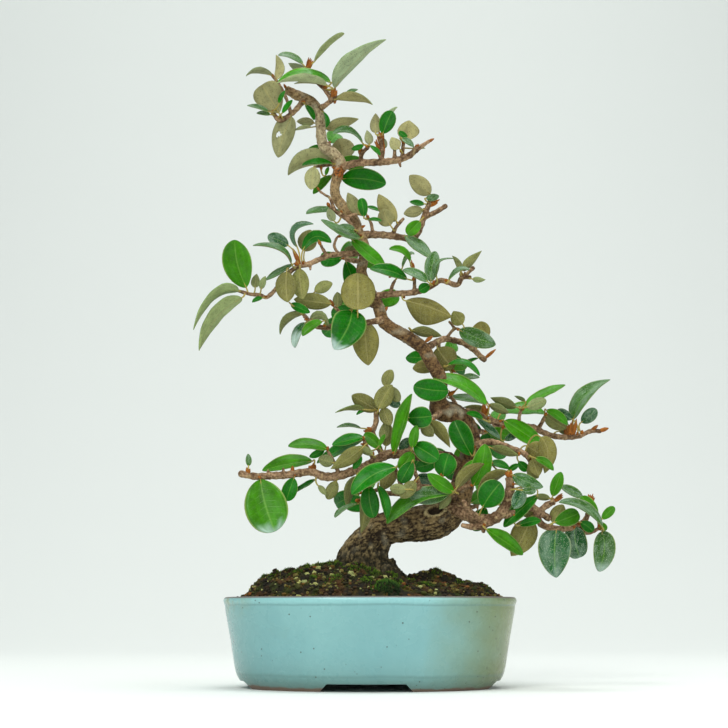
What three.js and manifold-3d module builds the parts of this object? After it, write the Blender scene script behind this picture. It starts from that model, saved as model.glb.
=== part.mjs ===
// A silverberry bonsai in its oval glazed pot. Millimetres, +Z up, the front is toward -Y.
// The tree is drawn with the middle of the pot's foot at the origin, and the whole group is moved
// at the end so that the middle of the object's box stands there instead.
import * as THREE from "three";
import { mergeVertices } from "three/addons/utils/BufferGeometryUtils.js";
import Module from "manifold-3d";

const wasm = await Module();
wasm.setup();

// Pot, outside sizes at the rim. The oval keeps one wall thickness all the way round.
const POT_WIDTH = 190;
const POT_DEPTH = 150;
const OVAL_LESS = (POT_WIDTH - POT_DEPTH) / 2;
const POT_HEIGHT = 57.5;
const POT_FLOOR_TOP = 10.5;
const POT_UNDERSIDE = 5.4;
const POT_SEGMENTS = 36;
const ARCH_HEIGHT = 4.8;
const FRONT_ARCH = { middle: -2.5, foot: 57, head: 49 };
const SIDE_ARCH = { middle: 0, foot: 46, head: 38 };
const DRAIN_X = 36;
const DRAIN_RADIUS = 9;

// Drainage mesh, a square plate over each hole.
const MESH_SIDE = 27;
const MESH_THICK = 1.2;
const MESH_HOLES = 3;
const MESH_HOLE_SIDE = 3.6;

const GAP = 0.3;
const SLIVER = 0.06;

// Soil.
const SOIL_AROUND = 32;
const SOIL_RINGS = 7;
const SOIL_EDGE_Z = 55.5;
const SOIL_TOP_HALF = POT_WIDTH / 2 - GAP - 6.9;

// Leaves and stems. The sprays reach this much further forward or back than they are written.
const DEPTH_SPREAD = 1.5;
const BLADE_HALF_THICK = 0.36;
const STALK_HALF_WIDTH = 0.62;
const STALK_HALF_THICK = 0.46;
const LONG_STALK = 13;
const SHORT_STALK = 6;
const LEAST_WIDTH_SHARE = 0.44;
const BLADE_CLEAR = 2.5;
const WOOD_CLEAR = 1.1;
const STEM_SIDES = 5;
const TWIG_SIDES = 4;
const TRUNK_SIDES = 9;
const ROOT_SIDES = 5;

const COLOURS = {
  glaze: 0x9cc6c4,
  soil: 0x5a4a38,
  mesh: 0x24282a,
  bark: 0x7d6650,
  leaf: 0x3f7f22,
};

// Places on the tree are written as they look from the front, on the plane y = 0, and are moved
// along the line of sight from EYE to their depth.
const EYE = [-3.9, -1000, 48];

function seen(x, z, y) {
  const far = (y - EYE[1]) / -EYE[1];
  return [EYE[0] + (x - EYE[0]) * far, y, EYE[2] + (z - EYE[2]) * far];
}

// Wood is a list of [x, z, depth, radius] along its middle.
const TRUNK = [
  [-4, 30, 0, 15],
  [-4, 58, 0, 19],
  [-3, 70, 0, 24],
  [-3, 76, 0, 20],
  [-3.6, 82, 0, 18],
  [0.4, 92, -1, 13.8],
  [8, 101, -2, 11],
  [20, 103.5, -4, 10.3],
  [32, 105, -6, 11.2],
  [44, 107.5, -6, 11.3],
  [52, 112.5, -4, 9.8],
  [58, 122, 0, 8.2],
  [62, 135, 5, 7.4],
  [66, 150, 8, 7],
  [67, 160, 8, 6.6],
  [63.5, 171, 6, 6.4],
  [56, 178, 3, 6.8],
  [47, 180.5, 0, 7.4],
  [45.5, 188, -1, 5.6],
  [47, 200, -2, 4.8],
  [44, 207, -2, 4.7],
  [40, 214, -3, 4.7],
  [36, 221, -3, 4.5],
  [30, 226, -4, 4.5],
  [22, 231, -5, 4.5],
  [15, 235, -6, 4.3],
  [9, 240, -6, 4.3],
  [7, 246, -6, 4.1],
  [5, 252, -6, 4],
  [1, 258, -5, 4.1],
  [-3, 266, -4, 3.7],
  [-5.5, 274, -3, 3.6],
  [-4.5, 281, -3, 3.5],
  [-3, 288, -3, 3.5],
  [-5, 295, -2, 3.8],
  [-8.5, 302, -1, 4.1],
  [-10.5, 309, 0, 3.9],
  [-15.5, 316, 1, 3.7],
  [-20.5, 322, 2, 3.5],
  [-23.5, 328, 2, 3.3],
  [-23.5, 334, 2, 3.3],
  [-21.5, 342, 2, 3.7],
  [-20, 350, 2, 3.8],
  [-25, 356.5, 1, 3.6],
  [-31, 361, 1, 3.6],
  [-33, 367, 0, 3.5],
  [-33.5, 375, 0, 3.4],
  [-34.5, 384, 0, 3.6],
  [-38, 391, 0, 3.5],
  [-43, 395, 1, 3.5],
  [-50, 398, 1, 3.4],
  [-57, 402, 2, 2.9],
];

const ROOTS = [
  [[-8, 77, -6, 9], [-17, 74, -13, 6.5], [-25, 70, -20, 4.5], [-32, 65, -26, 2.6]],
  [[5, 77, -6, 9], [11, 72.5, -15, 6.5], [17, 68, -24, 4.2], [22, 62, -32, 2.4]],
  [[3, 77, 8, 9], [8, 73, 20, 6.5], [13, 68, 32, 4.2], [17, 62, 41, 2.4]],
  [[-8, 77, 8, 8], [-17, 73, 17, 5.5], [-25, 69.5, 26, 3.6], [-32, 65, 32, 2.2]],
  [[6, 76, 2, 8], [14, 72, 5, 6.2], [22, 67, 8, 4.6], [30, 61, 11, 2.6]],
];

const SCAR = { x: 42, z: 113.2, depth: -15.2, wide: 6, tall: 3, wire: 0.34 };

// One spray per branch: its wood, its buds [x, z, x, z, radius] and its leaves.
// A leaf is [kind, width as seen, base x, z, tip x, z], or with a middle x, z before the tip.
// Kinds B, D, G and K show their upper side to the front, U and Y their underside.
const SPRAYS = [
  {
    name: "branch_left_low",
    wood: [
      [
        [63, 141, 6, 4], [51, 149, 0, 3.6], [40, 149.5, -4, 3.5], [28, 150, -8, 3.4],
        [18, 151, -10, 3.3], [10, 150, -12, 3.2], [-2, 143, -14, 3], [-10, 140, -15, 2.9],
        [-20, 136.5, -17, 2.8], [-30, 136, -18, 2.8], [-38, 139, -19, 2.6], [-45, 138.5, -20, 2.6],
        [-55, 137, -21, 2.5], [-65, 136.5, -22, 2.4], [-75, 136, -23, 2.3], [-86, 138, -24, 2.2],
      ],
      [[-20, 137, -17, 1.6], [-24, 146, -20, 1.2], [-28, 153, -21, 1]],
      [[3, 146, -13, 1.7], [-1, 154, -17, 1.3], [-4, 160, -19, 1.1]],
      [[-57, 137, -21, 1.3], [-57, 141.5, -22, 0.7]],
      [[-67, 137, -22, 1.3], [-67, 140.5, -23, 0.7]],
    ],
    buds: [
      [-80, 137, -80, 142, 1.7],
      [-38, 140, -38, 145, 2.2],
    ],
    leaves: [
      ["B", 27, -72, 134, -68.5, 117, -62, 100],
      ["D", 10, -50, 135, -55, 120],
      ["U", 8, -22, 133, -28, 121],
      ["U", 7, -9, 136, -15, 115],
      ["D", 5, -6, 150, -11, 141],
      ["B", 8, 7, 154, -4, 164],
      ["D", 7, -4, 162, -25, 157],
      ["D", 7, -5, 160, -35, 145],
      ["U", 10, -5, 155, -26, 141],
      ["Y", 5, 2, 150, -10, 155],
      ["B", 7, -28, 154, -54, 156],
      ["D", 5, -30, 154, -40, 149],
      ["B", 9, -38, 146, -71, 140],
    ],
  },
  {
    name: "spray_left_inner",
    wood: [
      [
        [9, 149, -12, 2.2], [5, 157, -10, 2], [2, 165, -9, 1.8], [4, 172, -9, 1.8],
        [4.5, 180, -9, 1.7], [7, 188, -9, 1.3], [10, 195, -9, 1.1],
      ],
    ],
    buds: [
      [2, 165, -4, 167, 2.2],
      [5, 178, 3, 184, 1.8],
    ],
    leaves: [
      ["U", 11, 5, 180, -12, 190],
      ["U", 12, 6, 181, 15, 197],
      ["U", 8, 10, 196, 15, 207],
      ["U", 8, 13, 196, 20, 186],
      ["K", 6, 11, 186, 20, 183],
      ["U", 9, 9, 182, 14, 170],
      ["U", 7, 8, 160, 10, 173],
    ],
  },
  {
    name: "spray_centre_upper",
    wood: [
      [
        [47, 179, -2, 2.4], [41, 174, -12, 1.8], [33, 170, -17, 1.6], [28, 160, -19, 1.5],
        [26, 154, -18, 1.4], [18, 152, -18, 1.2],
      ],
    ],
    buds: [],
    leaves: [
      ["B", 8, 16, 151, 28, 191],
      ["D", 14, 25, 175, 41, 176],
      ["B", 6.5, 28, 155, 31, 170],
      ["D", 13, 29, 157, 45, 147],
      ["B", 10, 28, 152, 20, 140],
      ["U", 8, 40, 173, 53, 155],
    ],
  },
  {
    name: "spray_centre_lower",
    wood: [
      [
        [57, 121, -2, 3.2], [50, 125, -12, 2.3], [42, 128, -17, 2], [33, 129, -20, 1.8],
        [23, 125, -22, 1.7], [12, 125, -23, 1.5], [5, 128, -23, 1.3],
      ],
      [[42, 128, -17, 1.6], [46, 134, -19, 1.3]],
      [[33, 129, -20, 1.5], [30, 138, -22, 1.3], [28, 145, -23, 1.1]],
      [[23, 125, -22, 1.5], [19, 134, -23, 1.3], [17, 141, -24, 1.1]],
      [[52, 124, -9, 1.7], [60, 128, -13, 1.4], [68, 131, -14, 1.2]],
      [[6, 127.5, -23, 1.3], [-2, 125, -22, 1.1], [-8, 119, -21, 0.9]],
    ],
    buds: [],
    leaves: [
      ["B", 13, 68, 130, 76, 157.5],
      ["B", 5, 60, 139, 76, 146],
      ["D", 15, 48, 136, 52, 151],
      ["B", 9, 55, 126, 38, 138],
      ["G", 12, 52, 126, 25, 124],
      ["B", 9, 53, 125, 11, 105],
      ["D", 12, 17, 142, -12, 124],
      ["D", 10, 28, 146, 20, 132],
      ["U", 9, 30, 133, 20, 122],
      ["D", 12, -0.5, 130, 2.5, 109],
      ["D", 6, 5, 130, 11, 108],
      ["U", 8, -4, 124, -6, 99],
    ],
  },
  {
    name: "branch_right_low",
    wood: [
      [
        [50, 112.5, -5, 5], [57, 114, -9, 4.6], [63, 111, -13, 4.2], [72, 107.5, -17, 4],
        [80, 108, -20, 3.8], [86, 112, -22, 3.6], [90, 119, -23, 3.4], [92, 127, -24, 3.1],
        [92, 135, -25, 2.7],
      ],
      [[80, 107, -20, 3], [70, 103, -22, 2.3], [60, 104, -23, 1.5]],
      [[76, 105, -20, 1.8], [74, 99.5, -22, 1.1]],
      [[73, 108, -18, 2.2], [69, 109, -21, 2.1], [65, 114, -24, 2], [61, 120, -25, 1.7]],
    ],
    buds: [[92, 134, 91, 140, 2]],
    leaves: [
      ["D", 17, 74, 116, 86, 132],
      ["U", 7, 91, 139, 70, 124],
      ["G", 9, 94, 137, 114, 129],
      ["D", 9, 110, 123, 87.5, 103],
      ["K", 9, 100, 128, 94, 115],
      ["G", 5, 100, 127, 109, 127],
      ["B", 9, 76, 101.5, 100, 85],
    ],
  },
  {
    name: "branch_right_outer",
    wood: [
      [
        [84, 111, -22, 2.9], [97, 112, -20, 2.6], [105, 116, -18, 2.5], [112, 112, -17, 2.4],
        [118, 108, -16, 2.1],
      ],
      [
        [109, 113, -17.5, 2.3], [112, 105, -18, 2.2], [120, 102, -17, 2.2], [130, 102, -16, 2.1],
        [138, 105, -15, 2], [142, 109, -14, 1.7], [144, 117, -13, 1.3],
      ],
      [[111, 113, -17, 1.9], [116, 117, -16, 2.2], [121, 119.5, -16, 1.9]],
      [[138, 105, -15, 1.6], [142, 99, -16, 1.4], [150, 102, -16, 1.2]],
    ],
    buds: [
      [121, 119.5, 127, 124, 1.7],
      [144, 117, 143, 124, 1.9],
    ],
    leaves: [
      ["B", 8, 120, 123, 126, 139],
      ["G", 6, 140, 122, 125, 130],
      ["B", 9, 149, 110, 139, 123],
      ["B", 6, 152, 108, 160.5, 116],
      ["G", 6, 152, 103, 140, 115, 124, 119],
      ["B", 5, 150, 106, 155, 101],
      ["B", 11, 121, 106, 137, 112],
      ["U", 17, 105, 108, 92, 84],
      ["K", 21, 122, 101, 121.5, 70],
      ["K", 15, 134, 103, 137, 83],
      ["G", 14, 152, 100, 149, 74],
      ["D", 6, 98, 104, 112, 107],
      ["D", 7, 138, 106, 146, 100],
    ],
  },
  {
    name: "branch_right_long",
    wood: [
      [
        [50, 179, 2, 3.6], [58, 178, 8, 3.2], [68, 178, 10, 2.8], [78, 174, 11, 2.6],
        [88, 170.5, 13, 2.4], [98, 169, 14, 2.3], [108, 168.5, 15, 2.2], [115, 165, 16, 2],
        [123, 162.5, 17, 2], [132, 162, 18, 1.9], [139, 163, 19, 1.7], [146, 166, 20, 1.6],
        [153, 166, 21, 1.3],
      ],
      [[111, 167, 15, 1.7], [114, 172, 13, 1.4], [116, 176, 12, 1.2]],
      [[99, 169, 14, 1.5], [99, 176, 11, 1.2], [101, 182, 9, 1]],
      [[57, 178, 7, 1.7], [57, 184, 12, 1.4], [53, 190, 14, 1.2]],
    ],
    buds: [
      [76, 174, 77, 184, 2.3],
      [131, 162, 131, 172, 2.2],
      [134, 164, 135, 174, 2],
    ],
    leaves: [
      ["U", 5, 78, 178, 62, 182],
      ["U", 6, 79, 184, 92, 178],
      ["U", 7, 97, 182, 80, 188.5],
      ["B", 5, 90, 178.5, 116, 178],
      ["B", 6, 102, 182, 130, 197],
      ["Y", 8, 104, 182, 117, 187],
      ["B", 12, 89, 173, 114, 156],
      ["K", 5, 71, 174, 86, 161],
      ["K", 5, 89, 160, 98, 165],
      ["U", 10, 116, 177, 130, 168],
      ["B", 6, 117, 180, 131, 170],
      ["U", 6, 125, 166, 137, 167],
      ["K", 7, 134, 174, 124, 180],
      ["G", 10, 135, 174, 143.5, 190, 160, 200.5],
      ["K", 9, 140, 172, 150, 181],
      ["D", 15, 52, 193, 29, 196],
      ["B", 9, 77, 184, 42, 202],
      ["G", 5, 52, 188, 77, 184],
    ],
  },
  {
    name: "spray_right_under",
    wood: [
      [
        [64, 158, 6, 3], [70, 157, -3, 2.4], [78, 159, -6, 2.2], [86, 157.5, -9, 2],
        [95, 154, -11, 2], [102, 151, -12, 1.9], [106, 146, -13, 1.6],
      ],
      [[73, 158, -5, 1.6], [76, 151, -9, 1.3], [79, 146, -11, 1.1]],
    ],
    buds: [],
    leaves: [
      ["U", 6, 80, 155, 98, 150],
      ["U", 14, 104, 156, 116, 148],
      ["U", 12, 113, 162, 117.5, 152, 115, 138],
      ["U", 8, 105, 143, 111, 135],
      ["B", 5, 109, 148, 121, 140],
      ["D", 6, 98, 146, 104, 140],
      ["D", 5, 79, 145, 92, 141],
      ["D", 15, 67, 150, 56, 173],
    ],
  },
  {
    name: "spray_right_inner",
    wood: [
      [
        [37, 221, -2, 3], [43, 225, 4, 2.3], [50, 228, 8, 2.2], [56, 227, 11, 2.1],
        [63, 225, 14, 2.1], [70, 220, 16, 2], [74, 216, 17, 2], [77, 213.5, 18, 2],
      ],
      [[51, 228, 8, 1.2], [57, 235, 6, 1], [64, 232, 4, 0.9]],
      [[57, 235, 6, 1], [53, 240, 6, 0.9]],
      [[46, 226, 6, 1.3], [47, 217, 10, 1.1], [52, 210, 11, 1]],
    ],
    buds: [
    ],
    leaves: [
      ["U", 10, 62, 238, 56, 247],
      ["U", 13, 73, 226, 74, 240],
      ["G", 12.5, 60, 234, 84, 224],
      ["U", 7, 28, 234, 48, 230],
      ["U", 18, 45, 222, 56, 208],
      ["U", 10, 47, 213, 28.5, 208],
    ],
  },
  {
    name: "spray_left_middle",
    wood: [
      [
        [8, 241, -6, 2.6], [3, 240, -8, 2.2], [-3, 239, -8, 2], [-10, 240, -8, 2],
        [-18, 238.5, -9, 2], [-27, 236, -10, 1.9], [-33, 236, -11, 1.8], [-38, 238, -12, 1.7],
        [-44, 244, -13, 1.3],
      ],
      [[-15, 239.5, -9, 1.5], [-20, 246, -8, 1.2], [-24, 250, -8, 1]],
    ],
    buds: [
    ],
    leaves: [
      ["D", 22, -12, 247, -24, 221],
      ["U", 23, -8, 248, -8, 273],
      ["U", 18, -4, 240, -1, 210],
      ["U", 11, -26, 252, -51, 255],
      ["U", 8, -37, 260, -25, 266],
      ["U", 7, -22, 250, -22, 260],
      ["D", 6, -53, 252, -40, 246],
      ["U", 5, -45, 245, -55, 241, -60, 231],
      ["K", 6, -43, 239, -48, 232, -50, 222],
      ["B", 6, -32, 240, -45, 230],
      ["U", 6, -40, 240, -33, 244, -27, 236],
    ],
  },
  {
    name: "spray_right_middle",
    wood: [
      [
        [2, 257, -6, 2.8], [9, 258, -7, 2.3], [20, 259, -8, 2.1], [28, 259.5, -9, 2.1],
        [36, 261.5, -10, 2], [42, 264.5, -11, 2], [48, 268, -12, 1.9], [57, 265, -13, 1.8],
        [60, 266, -13, 1.8], [62, 270, -13, 1.6], [68, 270, -14, 1.3],
      ],
      [[14, 258.5, -7, 1.5], [15, 264, -9, 1.2], [17, 268, -10, 1]],
      [[30, 260, -9, 1.5], [30, 268, -10, 1.2], [29, 277, -11, 1]],
      [[63, 270, -13, 1.3], [67, 274, -13, 1.2], [70, 277, -13, 1.5]],
    ],
    buds: [],
    leaves: [
      ["D", 8, 25, 269, 0, 276],
      ["G", 6, 39, 267, 22, 275],
      ["D", 7, 40, 265, 33, 261],
      ["G", 10, 41, 267, 44.5, 288],
      ["U", 6, 62, 275, 75.5, 288.5],
      ["U", 16, 24, 254, 55, 243],
    ],
  },
  {
    name: "spray_left_high",
    wood: [
      [
        [-3, 287.5, -4, 2.4], [-12, 286.5, -8, 2.1], [-20, 286, -9, 1.9], [-28, 285, -11, 1.9],
        [-35, 282, -12, 1.8], [-42, 279, -13, 1.8], [-48, 277.5, -14, 1.7], [-54, 273.5, -15, 1.6],
        [-58, 267, -16, 1.5], [-63, 262, -17, 1.5], [-69, 256.5, -18, 1.4], [-74, 258, -19, 1.3],
        [-80, 258.5, -20, 1.3], [-89, 261, -21, 1.1],
      ],
      [[-27, 285, -11, 1.4], [-30, 287, -12, 1.2], [-33, 292, -13, 1]],
      [[-21, 286, -9, 1.2], [-24, 292, -8, 1], [-22, 298, -7, 0.9]],
      [[-40, 280, -13, 1.3], [-40, 275, -13, 0.7]],
    ],
    buds: [
      [-47, 278, -52, 290, 2.1],
    ],
    leaves: [
      ["B", 19, -83, 263, -89.3, 280, -91, 296],
      ["Y", 6, -88, 261, -104.5, 255.5, -118, 234],
      ["Y", 10, -86, 256, -102.5, 241.5, -114, 220],
      ["U", 14, -56, 274, -55, 253],
      ["U", 12, -47, 276, -45, 255],
      ["B", 9, -12, 296, 10.5, 277],
      ["U", 8, -8, 287, -17, 290],
      ["D", 8, -45, 289, -37, 298, -26, 294],
      ["U", 13, -44, 288, -40, 303],
      ["K", 9, -55, 292, -69, 298.5],
      ["U", 6, -77, 263, -76, 272.5],
    ],
  },
  {
    name: "spray_right_high",
    wood: [
      [
        [-8, 300, -1, 3], [0, 299.5, 2, 2.6], [8, 299.5, 4, 2.5], [16, 298.5, 6, 2.4],
        [22, 297.5, 7, 2.3], [29, 297, 8, 2.4], [33, 302, 8, 2.3], [36, 310, 7, 2.2],
        [39, 318, 6, 2], [41, 323, 6, 1.7],
      ],
      [[15, 299, 6, 1.6], [18, 305, 5, 1.3], [23, 311, 4, 1.1]],
      [[36, 311, 7, 1.9], [40, 313, 6, 1.8], [46, 316, 5, 1.7], [52, 320, 4, 1.6]],
      [[2, 300, 2, 1.4], [1, 307, 3, 1.1], [-2, 313, 3, 0.9]],
    ],
    buds: [[40, 319, 47.5, 325, 1.9]],
    leaves: [
      ["U", 11, 18, 309, 6, 328],
      ["U", 12, 14, 306, 9, 318],
      ["U", 8, 36, 317, 23, 314],
      ["B", 9, 34, 309, 25, 300],
      ["G", 8, 24, 299, 42, 283],
      ["U", 12, 41, 328, 27, 341],
      ["G", 5, 38, 325, 47, 326.5],
    ],
  },
  {
    name: "spray_collar",
    wood: [
      [[-11, 309.5, 0, 2.2], [-16, 311, -6, 1.7], [-22, 315, -8, 1.5], [-27, 319, -9, 1.2]],
      [[-24, 317, -8.5, 1.3], [-27, 325, -7, 1], [-30, 327, -6, 0.9], [-34, 330, -5, 0.8]],
      [[-16, 311, -6, 1.5], [-12, 306, -9, 1.2], [-7, 298, -9, 1]],
      [[-16, 311, -6, 1.4], [-9, 314, -6, 1.1], [-4, 313, -5, 0.9]],
    ],
    buds: [
    ],
    leaves: [
      ["U", 9, -7, 314, -15, 329],
      ["D", 7, -4, 312, -6, 325],
      ["U", 6, -24, 309, -28, 318],
      ["G", 6, -6, 297, -18, 300, -33, 310],
      ["G", 5, -10, 303, -21, 306],
    ],
  },
  {
    name: "spray_upper_right",
    wood: [
      [
        [-20, 346, 2, 2.8], [-10, 349.5, -3, 2.6], [0, 350, -5, 2.5], [10, 350.5, -8, 2.4],
        [20, 352, -10, 2.3], [27, 355, -12, 2.2], [31, 358.5, -13, 2], [36, 362, -14, 1.5],
        [41, 365.5, -15, 1.1],
      ],
      [[20, 351, -10, 1.3], [21, 347, -12, 0.7]],
      [[-6, 350, -4, 1.7], [-5.5, 356, -7, 1.5], [-1, 361, -9, 1.3]],
      [[8, 351, -8, 1.9], [8, 361, -10, 1.7], [7, 369, -11, 1.5]],
      [[17, 352, -9, 1.5], [17, 359, -11, 1.2]],
      [[22, 353, -11, 1.5], [23, 364, -13, 1.2]],
    ],
    buds: [
      [7, 362, 7, 374, 2.2],
      [-5.5, 355, -7, 361, 1.8],
    ],
    leaves: [
      ["U", 15, 27, 366, 27, 380],
      ["D", 11, 9, 370.5, 15.5, 386.5],
      ["U", 8, 4, 371, 4, 385],
      ["U", 6, 0, 363, -2, 373],
      ["U", 8, 20, 360, 15, 368],
    ],
  },
  {
    name: "spray_shoulder",
    wood: [
      [
        [-34, 383, 1, 2], [-33, 377, 7, 1.5], [-33, 367, 9, 1.4], [-27, 358, 10, 1.4],
        [-21, 350, 10, 1.4], [-22, 341, 9, 1.4], [-24, 334, 8, 1.2],
      ],
      [[-22, 349, 10, 1.3], [-30, 348, 3, 1.1], [-37, 347, -3, 0.9]],
    ],
    buds: [],
    leaves: [
      ["D", 15, -19, 338.5, -4, 338.5, 11, 335],
      ["U", 18, -18, 353, -21, 367],
      ["U", 12, -24, 349, -42, 352, -55.5, 341],
      ["U", 11, -38, 347, -40, 331],
      ["U", 8, -30, 374, -7.5, 381],
      ["U", 6, -38, 378, -50, 379],
      ["B", 6, -26, 341, -38.5, 328],
    ],
  },
  {
    name: "spray_crown_left",
    wood: [
      [
        [-44, 396, 1, 2.2], [-52, 386, -4, 1.8], [-61, 380, -7, 1.7], [-66, 385, -8, 1.5],
        [-70, 391, -8, 1.3], [-75, 394, -8, 1.1],
      ],
      [[-54, 385, -5, 1.4], [-57, 395, -9, 1.2], [-62, 405, -8, 1.2], [-67, 412, -6, 1]],
    ],
    buds: [
    ],
    leaves: [
      ["U", 20, -62, 385, -74, 405.5],
      ["U", 13, -54, 383, -62.5, 353.5],
      ["U", 6.5, -64, 409, -64.5, 427],
    ],
  },
  {
    name: "spray_crown_top",
    wood: [
      [[-35, 388, 0, 2.2], [-30, 391, -5, 1.8], [-25, 395, -7, 1.7], [-19, 396.5, -8, 1.4]],
      [[-26, 394, -7, 1.6], [-31, 402, -6, 1.4], [-38, 409, -5, 1.4], [-43, 416, -4, 1.3]],
    ],
    buds: [
      [-25, 395, -24, 404, 1.9],
      [-43, 415, -40, 425, 1.9],
    ],
    leaves: [
      ["Y", 10, -24, 403, -9.5, 421, 11.5, 438],
      ["U", 5, -38, 422, -17.5, 442.5],
      ["B", 7, -27, 407, -43.5, 411, -63, 407],
      ["U", 6, -44, 416, -56, 421],
      ["U", 6, -23, 395, -9, 395.5, 2, 391],
    ],
  },
];

// Shoots behind the tree, hidden from the front by the foliage above. Each has a straggling stem from
// start to end, and its leaves are set along it in turn by a rule.
const BACK_SHOOTS = [
  { name: "shoot_back_low_left", start: [8, 101, 0], end: [-4, 126, 50], count: 5, seed: 11 },
  { name: "shoot_back_low_right", start: [54, 115, 0], end: [82, 118, 46], count: 6, seed: 23 },
  { name: "shoot_back_centre", start: [63, 140, 8], end: [34, 150, 60], count: 6, seed: 31 },
  { name: "shoot_back_right", start: [66, 163, 9], end: [90, 167, 58], count: 5, seed: 47 },
  { name: "shoot_back_middle", start: [44, 205, 0], end: [48, 218, 44], count: 4, seed: 53 },
  { name: "shoot_back_left", start: [5, 250, -4], end: [-16, 246, 40], count: 5, seed: 67 },
  { name: "shoot_back_high", start: [-4, 280, -2], end: [-22, 284, 36], count: 4, seed: 79 },
  { name: "shoot_back_crown", start: [-22, 345, 3], end: [-30, 364, 34], count: 5, seed: 97 },
];
const BACK_LEAF = { shortest: 19, longest: 29, width: 0.5 };

// Short hand for vectors.
const plus = (a, b) => [a[0] + b[0], a[1] + b[1], a[2] + b[2]];
const minus = (a, b) => [a[0] - b[0], a[1] - b[1], a[2] - b[2]];
const times = (a, k) => [a[0] * k, a[1] * k, a[2] * k];
const dot = (a, b) => a[0] * b[0] + a[1] * b[1] + a[2] * b[2];
const span = (a) => Math.sqrt(dot(a, a));
const unit = (a) => times(a, 1 / span(a));
const cross = (a, b) => [
  a[1] * b[2] - a[2] * b[1],
  a[2] * b[0] - a[0] * b[2],
  a[0] * b[1] - a[1] * b[0],
];

// Turns the direction held by the shortest turn that takes one heading to another.
function carry(held, from, to) {
  const share = dot(held, to) / (1 + dot(from, to));
  return minus(held, times(plus(from, to), share));
}

function randomFrom(seed) {
  let state = seed;
  return () => {
    state = (state * 16807) % 2147483647;
    return state / 2147483647;
  };
}

function solidOf(points, faces) {
  return new wasm.Manifold(
    new wasm.Mesh({
      numProp: 3,
      vertProperties: new Float32Array(points.flat()),
      triVerts: new Uint32Array(faces.flat()),
    }),
  );
}

function solidFrom(geometry) {
  const shape = geometry.index ? geometry.toNonIndexed() : geometry;
  const bare = new THREE.BufferGeometry();
  bare.setAttribute("position", shape.getAttribute("position"));
  const merged = mergeVertices(bare, 1e-4);
  return new wasm.Manifold(
    new wasm.Mesh({
      numProp: 3,
      vertProperties: merged.attributes.position.array,
      triVerts: new Uint32Array(merged.index.array),
    }),
  );
}

function fuse(solids) {
  return solids.reduce((whole, next) => whole.add(next));
}

// The main body of a solid, without loose scraps and with sealed hollows filled.
function mainBody(solid) {
  const bodies = solid.decompose().filter((body) => body.volume() > 0);
  return bodies.reduce((most, body) => (body.volume() > most.volume() ? body : most));
}

function headings(points) {
  const last = points.length - 1;
  return points.map((_, i) => {
    const before = points[Math.max(i - 1, 0)];
    const after = points[Math.min(i + 1, last)];
    return unit(minus(after, before));
  });
}

// A closed round stem. The stems are [x, y, z, radius]; swell shapes a ring by its angle.
function limb(stem, sides, grow = 0, swell = () => 1) {
  const middles = stem.map((p) => p.slice(0, 3));
  const ways = headings(middles);
  const first = ways[0];
  const least = first.map(Math.abs).indexOf(Math.min(...first.map(Math.abs)));
  const axis = [0, 1, 2].map((i) => (i === least ? 1 : 0));
  let side = unit(cross(first, axis));
  const points = [];
  const faces = [];
  middles.forEach((middle, i) => {
    if (i > 0) side = unit(carry(side, ways[i - 1], ways[i]));
    const other = cross(ways[i], side);
    for (let k = 0; k < sides; k++) {
      const angle = (2 * Math.PI * k) / sides;
      const radius = (stem[i][3] + grow) * swell(middle, angle);
      const out = plus(times(side, Math.cos(angle)), times(other, Math.sin(angle)));
      points.push(plus(middle, times(out, radius)));
    }
  });
  for (let i = 0; i + 1 < middles.length; i++) {
    for (let k = 0; k < sides; k++) {
      const a = i * sides + k;
      const b = i * sides + ((k + 1) % sides);
      faces.push([a, b, b + sides], [a, b + sides, a + sides]);
    }
  }
  const last = middles.length - 1;
  const start = points.length;
  points.push(minus(middles[0], times(ways[0], 0.4 * stem[0][3] + grow)));
  points.push(plus(middles[last], times(ways[last], 0.4 * stem[last][3] + grow)));
  for (let k = 0; k < sides; k++) {
    const next = (k + 1) % sides;
    faces.push([start, next, k], [start + 1, last * sides + k, last * sides + next]);
  }
  return solidOf(points, faces);
}

// Half the breadth of a blade along its length, as a share of its widest.
function outline(t) {
  return Math.pow(Math.sin(Math.PI * Math.pow(t, 0.85)), 0.75);
}

// The middle surface of a blade: t runs from base to tip, s from edge to edge.
function bladeAt(leaf, t, s) {
  const { base, bend, tip } = leaf;
  const back = 1 - t;
  const on = plus(plus(times(base, back * back), times(bend, 2 * t * back)), times(tip, t * t));
  const way = unit(plus(times(minus(bend, base), back), times(minus(tip, bend), t)));
  const up = carry(leaf.up, leaf.way, way);
  const across = cross(way, up);
  const half = 0.5 * leaf.width * outline(t);
  const ripple = leaf.ripple * Math.sin(leaf.phase + 9 * t + 2 * s);
  const lift = leaf.arch * leaf.length * 4 * t * back + (leaf.fold + ripple) * half * s * s;
  return { on: plus(plus(on, times(across, half * s)), times(up, lift)), up, across, way };
}

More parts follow.
